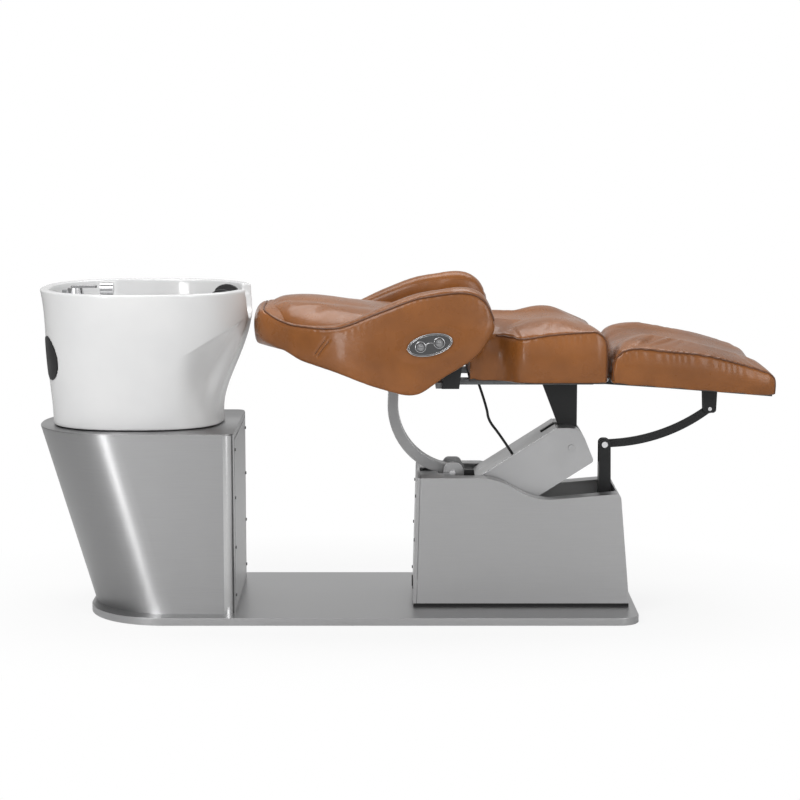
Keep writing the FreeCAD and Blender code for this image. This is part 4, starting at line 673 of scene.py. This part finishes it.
def stitches(name, points, body):
    """A row of short threads along the points."""
    points = np.asarray(points)
    runs = np.linalg.norm(np.diff(points, axis=0), axis=1)
    spots = np.concatenate([[0], np.cumsum(runs)])
    verts, faces = [], []
    for start in np.arange(0.002, spots[-1] - THREAD_LENGTH, THREAD_STEP):
        ends = [np.array([np.interp(s, spots, points[:, k]) for k in range(3)])
                for s in (start, start + THREAD_LENGTH)]
        along = (ends[1] - ends[0]) / max(np.linalg.norm(ends[1] - ends[0]), 1e-9)
        side = np.cross(along, (0.3, 0.9, 0.1))
        side /= np.linalg.norm(side)
        up = np.cross(along, side)
        first = len(verts)
        for share, scale in THREAD_RINGS:
            base = ends[0] + (ends[1] - ends[0]) * share
            for k in range(THREAD_SIDES):
                a = 2 * math.pi * k / THREAD_SIDES
                verts.append(base + THREAD_RADIUS * scale * (math.cos(a) * side + math.sin(a) * up))
        for ring in range(len(THREAD_RINGS) - 1):
            a = first + ring * THREAD_SIDES
            b = a + THREAD_SIDES
            for k in range(THREAD_SIDES):
                m = (k + 1) % THREAD_SIDES
                faces.append((a + k, a + m, b + m, b + k))
        faces.append(tuple(range(first, first + THREAD_SIDES))[::-1])
        faces.append(tuple(range(len(verts) - THREAD_SIDES, len(verts))))
    return finish_piece(build(name, verts, faces), body, THREAD)


def merge(obj, other):
    bm = bmesh.new()
    bm.from_mesh(obj.data)
    bm.from_mesh(other.data)
    bm.to_mesh(obj.data)
    bm.free()
    bpy.data.objects.remove(other)


def cushion(node, name, body, lines, cap=0.009, rounds=6, inset=0.002, pucker=0.0013, calm=2,
            reshape=None):
    """A padded piece from a packed form: swelled by the cap at most and drawn in along its seam lines."""
    obj = copy_node(node, name)
    if reshape:
        reshape(obj)
    remesh(obj, LEATHER_VOXEL, rounds)
    shrink(obj, inset)
    swell(obj, lines, cap)
    relax(obj, calm)
    subdivide(obj)
    groove(obj, lines, SEAM_DEPTH, SEAM_WIDTH, pucker)
    smooth_all(obj.data)
    finish_piece(obj, body, LEATHER, (node,))
    return obj


def pipe(name, points, obj, body):
    line = settle(points, tree_of(obj), PIPING_LIFT)
    return finish_piece(sweep(name, line, PIPING_RADIUS, PIPING_SIDES), body, PIPING)


def table_line(rows, count):
    """A smooth line through rows of x, y and z in millimetres."""
    return spline(np.array(rows) / 1000, count)


# Seat: narrow between the arms, wide in front of them, side panels edged with piping
# edge rows hold x, half width and height in millimetres
SEAT_EDGE = [
    (345, 203, 742), (368, 214, 740), (384, 234, 738), (402, 254, 737), (425, 263, 740),
    (470, 264, 747), (520, 264, 753), (570, 264, 757), (604, 263, 755), (618, 261, 744),
    (626, 258, 726), (628, 258, 700), (628, 258, 660), (627, 257, 628),
]
# millimetres by which the far edge lies lower, by x, where it is above a height
FAR_DROP = {570: 9, 604: 16, 618: 17, 626: 15, 628: 9}
FAR_DROP_ABOVE = 690
FAR_CORNER_DROP = 0.018
SEAT_COUNT = 130


def seat_edge(side):
    rows = []
    for x, y, z in SEAT_EDGE:
        lower = FAR_DROP.get(x, 0) if side > 0 and z > FAR_DROP_ABOVE else 0
        rows.append((x, side * y, z - lower))
    return table_line(rows, SEAT_COUNT)


def far_front(obj):
    """The photograph shows the seat's far front corner a little lower than the near one."""
    points = coords(obj.data)
    share = ease((points[:, 0] - 0.48) / 0.13) * ease(points[:, 1] / 0.22)
    share *= ease((points[:, 2] - 0.64) / 0.08)
    points[:, 2] -= FAR_CORNER_DROP * share
    set_coords(obj.data, points)


seat_lines = [seat_edge(side) for side in (-1, 1)]
seat = cushion("seat_cushion", "seat_cushion_leather", "seat", seat_lines, reshape=far_front)
for label, spots in zip(("near", "far"), seat_lines):
    pipe("seat_piping_" + label, spots, seat, "seat")

# Leg rest
LEG_EDGE = [
    (634, 257, 630), (634, 258, 650), (635, 258, 671), (642, 261, 690), (655, 263, 704),
    (681, 264, 713), (760, 264, 709), (852, 264, 701), (952, 264, 679), (1018, 263, 660),
    (1043, 260, 648), (1053, 256, 634), (1055, 255, 615), (1054, 254, 594),
]
LEG_COUNT = 170
leg_lines = [table_line([(x, side * y, z) for x, y, z in LEG_EDGE], LEG_COUNT) for side in (-1, 1)]
leg = cushion("legrest_cushion", "legrest_cushion_leather", "leg_rest", leg_lines)
for label, spots in zip(("near", "far"), leg_lines):
    pipe("legrest_piping_" + label, spots, leg, "leg_rest")

# Back and arms: the arms' leather wraps the head end, where both meet under the piping
HEAD_SEAM_X = -0.25
HEAD_END_X = -0.19
# the control panel's middle, back plane, half length and width, and tilt
PANEL = np.array((0.174, -0.304, 0.726))
PANEL_BACK = -0.2995
PANEL_LONG = 0.058
PANEL_SHORT = 0.028
TILT = math.radians(12.6)
ARM_EDGE = [
    (-252, 0, 812), (-254, 40, 808), (-255, 80, 800), (-250, 118, 795), (-238, 148, 792),
    (-207, 182, 777), (-128, 241, 766), (-60, 273, 768), (24, 290, 799), (80, 295, 821),
    (139, 296, 842), (200, 296, 852), (260, 296, 857), (300, 295, 846), (326, 294, 820),
    (339, 290, 786),
]
ARM_COUNT = 190
# both ends of each stitched row, as x and height, and its half width, in millimetres
STITCH = [((-121, 695), (-83, 738)), ((-111, 692), (-74, 733))]
STITCH_Y = 255
STITCH_COUNT = 24
STITCH_DEPTH = 0.0018
STITCH_WIDTH = 0.0032
STITCH_LIFT = 0.0004
# the head end: where its top lies lower and by how much, overlap at the middle, rise below, push of the tip
HEAD_TOP_Z = 0.74
HEAD_TOP_INSET = 0.01
HEAD_OVERLAP = 0.012
HEAD_RISE = 0.034
TIP_PUSH = 0.006
# the back's leather: lowest height of its end, and how much wider it is between the arms
BACK_END_Z = 0.745
BACK_SPREAD = 0.1


def stop_at_x(obj, low_x):
    """Flattens what lies past the given x onto it."""
    points = coords(obj.data)
    points[:, 0] = np.maximum(points[:, 0], low_x)
    set_coords(obj.data, points)


def fill_between(obj):
    """The back's leather ends in the head seam and presses against both arms."""
    stop_at_x(obj, HEAD_SEAM_X + 0.004)
    points = coords(obj.data)
    ending = points[:, 0] < HEAD_SEAM_X + 0.015
    points[ending, 2] = np.maximum(points[ending, 2], BACK_END_Z)
    wider = BACK_SPREAD * ease((points[:, 0] - HEAD_SEAM_X) / 0.06) * ease((0.2 - points[:, 0]) / 0.06)
    points[:, 1] *= 1 + wider
    set_coords(obj.data, points)


cushion("back_cushion", "back_cushion_leather", "back", [], cap=0.004, calm=8,
        reshape=fill_between)


def head_end(side):
    """The rounded end over the back and both arms, below the back's top panel, on one side of the middle."""
    spots = np.vstack([coords(NODES[n].data) for n in ("back_cushion", "right_armrest", "left_armrest")])
    spots = spots[spots[:, 0] < HEAD_END_X]
    under = (spots[:, 0] > HEAD_SEAM_X) & (spots[:, 2] > HEAD_TOP_Z)
    spots[under, 2] -= HEAD_TOP_INSET
    bm = bmesh.new()
    for spot in spots:
        bm.verts.new(spot)
    bmesh.ops.convex_hull(bm, input=bm.verts)
    loose = [v for v in bm.verts if not v.link_faces]
    bmesh.ops.delete(bm, geom=loose, context="VERTS")
    mesh = bpy.data.meshes.new("head_end")
    bm.to_mesh(mesh)
    bm.free()
    points = coords(mesh)
    points[:, 1] = side * np.maximum(side * points[:, 1], -HEAD_OVERLAP)
    set_coords(mesh, points)
    return add_object("head_end", mesh)


def wrap_head(side):
    """Joins one half of the head end to an arm and raises its lower edge."""
    def reshape(obj):
        merge(obj, head_end(side))
        points = coords(obj.data)
        towards_end = np.clip((-0.155 - points[:, 0]) / 0.115, 0, 1)
        rise = towards_end * np.clip((0.775 - points[:, 2]) / 0.09, 0, 1)
        points[:, 2] += HEAD_RISE * rise
        points[:, 0] -= TIP_PUSH * ease((-0.2 - points[:, 0]) / 0.07)
        set_coords(obj.data, points)
    return reshape


def seat_panel(obj):
    """Lays the leather flat behind the control panel."""
    points = coords(obj.data)
    along = (points - PANEL) @ np.array((math.cos(TILT), 0, math.sin(TILT))) / PANEL_LONG
    across = (points - PANEL) @ np.array((-math.sin(TILT), 0, math.cos(TILT))) / PANEL_SHORT
    away = np.hypot(along, across)
    share = np.clip((1.6 - away) / 0.5, 0, 1)
    proud = np.minimum(points[:, 1] - PANEL_BACK, 0)
    points[:, 1] -= proud * share * (points[:, 1] < -0.28)
    set_coords(obj.data, points)


def tuck_under(obj):
    """Where both arms' leather overlaps at the middle of the head end, this one lies under the other."""
    points, facing = coords(obj.data), normals(obj.data)
    share = np.clip((0.016 - points[:, 1]) / 0.006, 0, 1)
    set_coords(obj.data, points - facing * (0.002 * share)[:, None])


for label, side in (("right_armrest", -1), ("left_armrest", 1)):
    edge = table_line([(x, side * y, z) for x, y, z in ARM_EDGE], ARM_COUNT)
    arm = cushion(label, label + "_leather", "back", [edge], cap=0.004, rounds=9, inset=0.001,
                  pucker=0.0006, calm=6, reshape=wrap_head(side))
    if side < 0:
        seat_panel(arm)
    else:
        tuck_under(arm)
    pipe(label + "_piping", edge, arm, "back")
    rows = []
    for (x0, z0), (x1, z1) in STITCH:
        shares = np.linspace(0, 1, STITCH_COUNT)
        row = [(x0 + (x1 - x0) * t, side * STITCH_Y, z0 + (z1 - z0) * t) for t in shares]
        rows.append(settle(np.array(row) / 1000, tree_of(arm), 0))
    groove(arm, rows, STITCH_DEPTH, STITCH_WIDTH, pucker=0)
    for number, row in enumerate(rows, start=1):
        stitches(f"{label}_stitch_{number}", settle(row, tree_of(arm), STITCH_LIFT), "back")

# Control panel: bright lines on the rim, ringed push buttons and the mark between them
LINE_SIDES = 8
OVAL_STEPS = 72
BUTTON_SHIFT = 0.024
BUTTON_STEPS = 40
# radius and height of a button's turned outline
BUTTON_OUTLINE = ((0.0109, 0), (0.0109, 0.0068), (0.0102, 0.0078), (0.009, 0.0078), (0.0084, 0.0066),
                  (0.0062, 0.0064), (0.0056, 0.0074), (0.003, 0.0079), (0.0004, 0.008))


def on_panel(long, short, out=0.0):
    """A place on the control panel, by its length and width and how far it stands out."""
    return PANEL + np.array((long * math.cos(TILT) - short * math.sin(TILT), -out,
                             long * math.sin(TILT) + short * math.cos(TILT)))


def panel_oval(name, long, short, out, radius, middle=0.0):
    turns = np.linspace(0, 2 * math.pi, OVAL_STEPS, endpoint=False)
    ring = [on_panel(middle + long * math.cos(a), short * math.sin(a), out) for a in turns]
    return finish_piece(sweep(name, ring, radius, LINE_SIDES, closed=True), "back", CHROME)


panel_oval("panel_line_outer", 0.0568, 0.0268, 0.0, 0.0006)
panel_oval("panel_line_inner", 0.0535, 0.0235, 0.0, 0.0004)
for label, shift in (("recline_button", -BUTTON_SHIFT), ("raise_button", BUTTON_SHIFT)):
    push = lathe(label + "_push", BUTTON_OUTLINE, BUTTON_STEPS, on_panel(shift, 0, -0.0012), (0, -1, 0))
    finish_piece(push, label, BUTTON, (label,))
    panel_oval(label + "_ring", 0.0132, 0.0132, -0.0006, 0.0009, shift)
mark = [on_panel(x, 0.0035 * math.cos(x * 150) + 0.0015, -0.0006) for x in np.linspace(-0.0085, 0.0085, 18)]
finish_piece(sweep("panel_mark", mark, 0.0006, LINE_SIDES), "back", CHROME)

# Basin and neck rest: cast and moulded pieces with round edges
BASIN_VOXEL = 0.003
NECK_VOXEL = 0.0025
CAST_ROUNDS = 8
# below a slanting line at its front sides the basin's cast wall turns in
BOWL_MIDDLE = (-0.55, 0, 0)
FOLD_X, FOLD_Z, FOLD_SLOPE = -0.3, 0.775, 0.57
FOLD_DEPTH = 0.026
FOLD_LENGTH = 0.03
# growth and outward shift of the rear cap's cover
CAP_GROWTH = 1.035
CAP_SHIFT = np.array((-0.9, -0.42, 0)) * 0.0012
basin = copy_node("basin", "basin_glazed")
remesh(basin, BASIN_VOXEL, CAST_ROUNDS)
points = coords(basin.data)
outward = points * (1, 1, 0) - BOWL_MIDDLE
outward /= np.maximum(np.linalg.norm(outward, axis=1), 1e-6)[:, None]
below = np.maximum(FOLD_Z - (FOLD_X - points[:, 0]) * FOLD_SLOPE - points[:, 2], 0)
fade = ease((points[:, 0] + 0.475) / 0.1) * ease((points[:, 2] - 0.5) / 0.14)
fade *= ease((np.abs(points[:, 1]) - 0.07) / 0.07)
depth = FOLD_DEPTH * (1 - np.exp(-below / FOLD_LENGTH)) * fade
set_coords(basin.data, points - outward * depth[:, None])
smooth_all(basin.data)
finish_piece(basin, "base", CERAMIC, ("basin",))
lid = copy_node("basin_rear_cap", "basin_rear_cap_cover")
points = coords(lid.data)
middle = (points.max(0) + points.min(0)) / 2
set_coords(lid.data, middle + (points - middle) * CAP_GROWTH + CAP_SHIFT)
smooth_all(lid.data, PLAIN_SHARP)
finish_piece(lid, "base", PLASTIC, ("basin_rear_cap",))
neck = copy_node("neck_rest", "neck_rest_gel")
remesh(neck, NECK_VOXEL, CAST_ROUNDS)
smooth_all(neck.data)
finish_piece(neck, "base", RUBBER, ("neck_rest",))

# Floor and light
FLOOR_REACH = 9
FLOOR_Z = -0.0005
corners = [(x * FLOOR_REACH, y * FLOOR_REACH, FLOOR_Z) for x, y in ((-1, -1), (1, -1), (1, 1), (-1, 1))]
plane = build("floor", corners, [(0, 1, 2, 3)])
floor = Paint("floor_white", (0.7, 0.7, 0.7), rough=0.9, shine=0.1)
# seen by the camera the floor is white, a little duller near the object
far = floor.nodes.new("ShaderNodeVectorMath")
far.operation = "LENGTH"
floor.links.new(floor.stretched((0.85, 1.3, 1)), far.inputs[0])
rays = floor.nodes.new("ShaderNodeLightPath")
share = floor.nodes.new("ShaderNodeMath")
share.operation = "MULTIPLY"
floor.links.new(rays.outputs["Is Camera Ray"], share.inputs[0])
floor.links.new(floor.spread(far.outputs["Value"], 0.84, 1.0, 0.55, 1.25), share.inputs[1])
glow = floor.nodes.new("ShaderNodeEmission")
mix = floor.nodes.new("ShaderNodeMixShader")
floor.links.new(share.outputs["Value"], mix.inputs["Fac"])
floor.links.new(floor.shader.outputs["BSDF"], mix.inputs[1])
floor.links.new(glow.outputs["Emission"], mix.inputs[2])
floor.links.new(mix.outputs["Shader"], floor.nodes["Material Output"].inputs["Surface"])
plane.data.materials.append(floor.mat)

ROOM_LIGHT = 0.42
world = bpy.data.worlds.new("studio")
scene.world = world
world.use_nodes = True
nodes = world.node_tree.nodes
links = world.node_tree.links
base = nodes["Background"]
base.inputs["Color"].default_value = (1, 1, 1, 1)
base.inputs["Strength"].default_value = ROOM_LIGHT
bright = nodes.new("ShaderNodeBackground")
bright.inputs["Color"].default_value = (1, 1, 1, 1)
rays = nodes.new("ShaderNodeLightPath")


def combine(kind, first, second):
    """A product or the larger of two values."""
    node = nodes.new("ShaderNodeMath")
    node.operation = kind
    links.new(first, node.inputs[0])
    links.new(second, node.inputs[1])
    return node.outputs["Value"]


def fall(value, start, end, low):
    """A factor that goes from 1 at the start to low at the end."""
    node = nodes.new("ShaderNodeMapRange")
    node.interpolation_type = "SMOOTHSTEP"
    for name, number in (("From Min", start), ("From Max", end), ("To Min", 1.0), ("To Max", low)):
        node.inputs[name].default_value = number
    links.new(value, node.inputs["Value"])
    return node.outputs["Result"]


# reflections see the white room, duller at its left end, overhead and at the far side
towards = nodes.new("ShaderNodeSeparateXYZ")
links.new(nodes.new("ShaderNodeTexCoord").outputs["Generated"], towards.inputs["Vector"])
left_end = fall(towards.outputs["X"], -0.3, -0.85, 0.35)
overhead = fall(towards.outputs["Z"], 0.45, 0.95, 0.5)
far_side = fall(towards.outputs["Y"], 0.4, 0.95, 0.65)
room = combine("MULTIPLY", combine("MULTIPLY", left_end, overhead), far_side)
links.new(combine("MAXIMUM", rays.outputs["Is Camera Ray"], room), bright.inputs["Strength"])
shown = combine("MAXIMUM", rays.outputs["Is Camera Ray"], rays.outputs["Is Glossy Ray"])
shown = combine("MAXIMUM", shown, rays.outputs["Is Transmission Ray"])
mix = nodes.new("ShaderNodeMixShader")
links.new(shown, mix.inputs["Fac"])
links.new(base.outputs["Background"], mix.inputs[1])
links.new(bright.outputs["Background"], mix.inputs[2])
links.new(mix.outputs["Shader"], nodes["World Output"].inputs["Surface"])


def softbox(name, place, aim, width, height, power):
    """A rectangular lamp at a place, turned to its aim."""
    lamp = bpy.data.lights.new(name, "AREA")
    lamp.shape = "RECTANGLE"
    lamp.size = width
    lamp.size_y = height
    lamp.energy = power
    obj = bpy.data.objects.new(name, lamp)
    obj.location = place
    obj.rotation_euler = (Vector(aim) - Vector(place)).to_track_quat("-Z", "Y").to_euler()
    scene.collection.objects.link(obj)


softbox("key", (-1.6, -2.2, 3.0), (0.1, 0, 0.5), 2.2, 1.6, 75)
softbox("fill", (2.4, -3.0, 1.9), (0.2, 0, 0.5), 1.8, 1.8, 38)
softbox("top", (0.2, 0.9, 3.2), (0.2, 0, 0.6), 3.0, 1.4, 60)
softbox("strip_left", (-2.15, -3.2, 0.75), (-0.6, 0, 0.4), 0.35, 1.5, 26)
softbox("strip_right", (2.2, -3.6, 0.75), (0.5, 0, 0.2), 0.9, 1.5, 13)
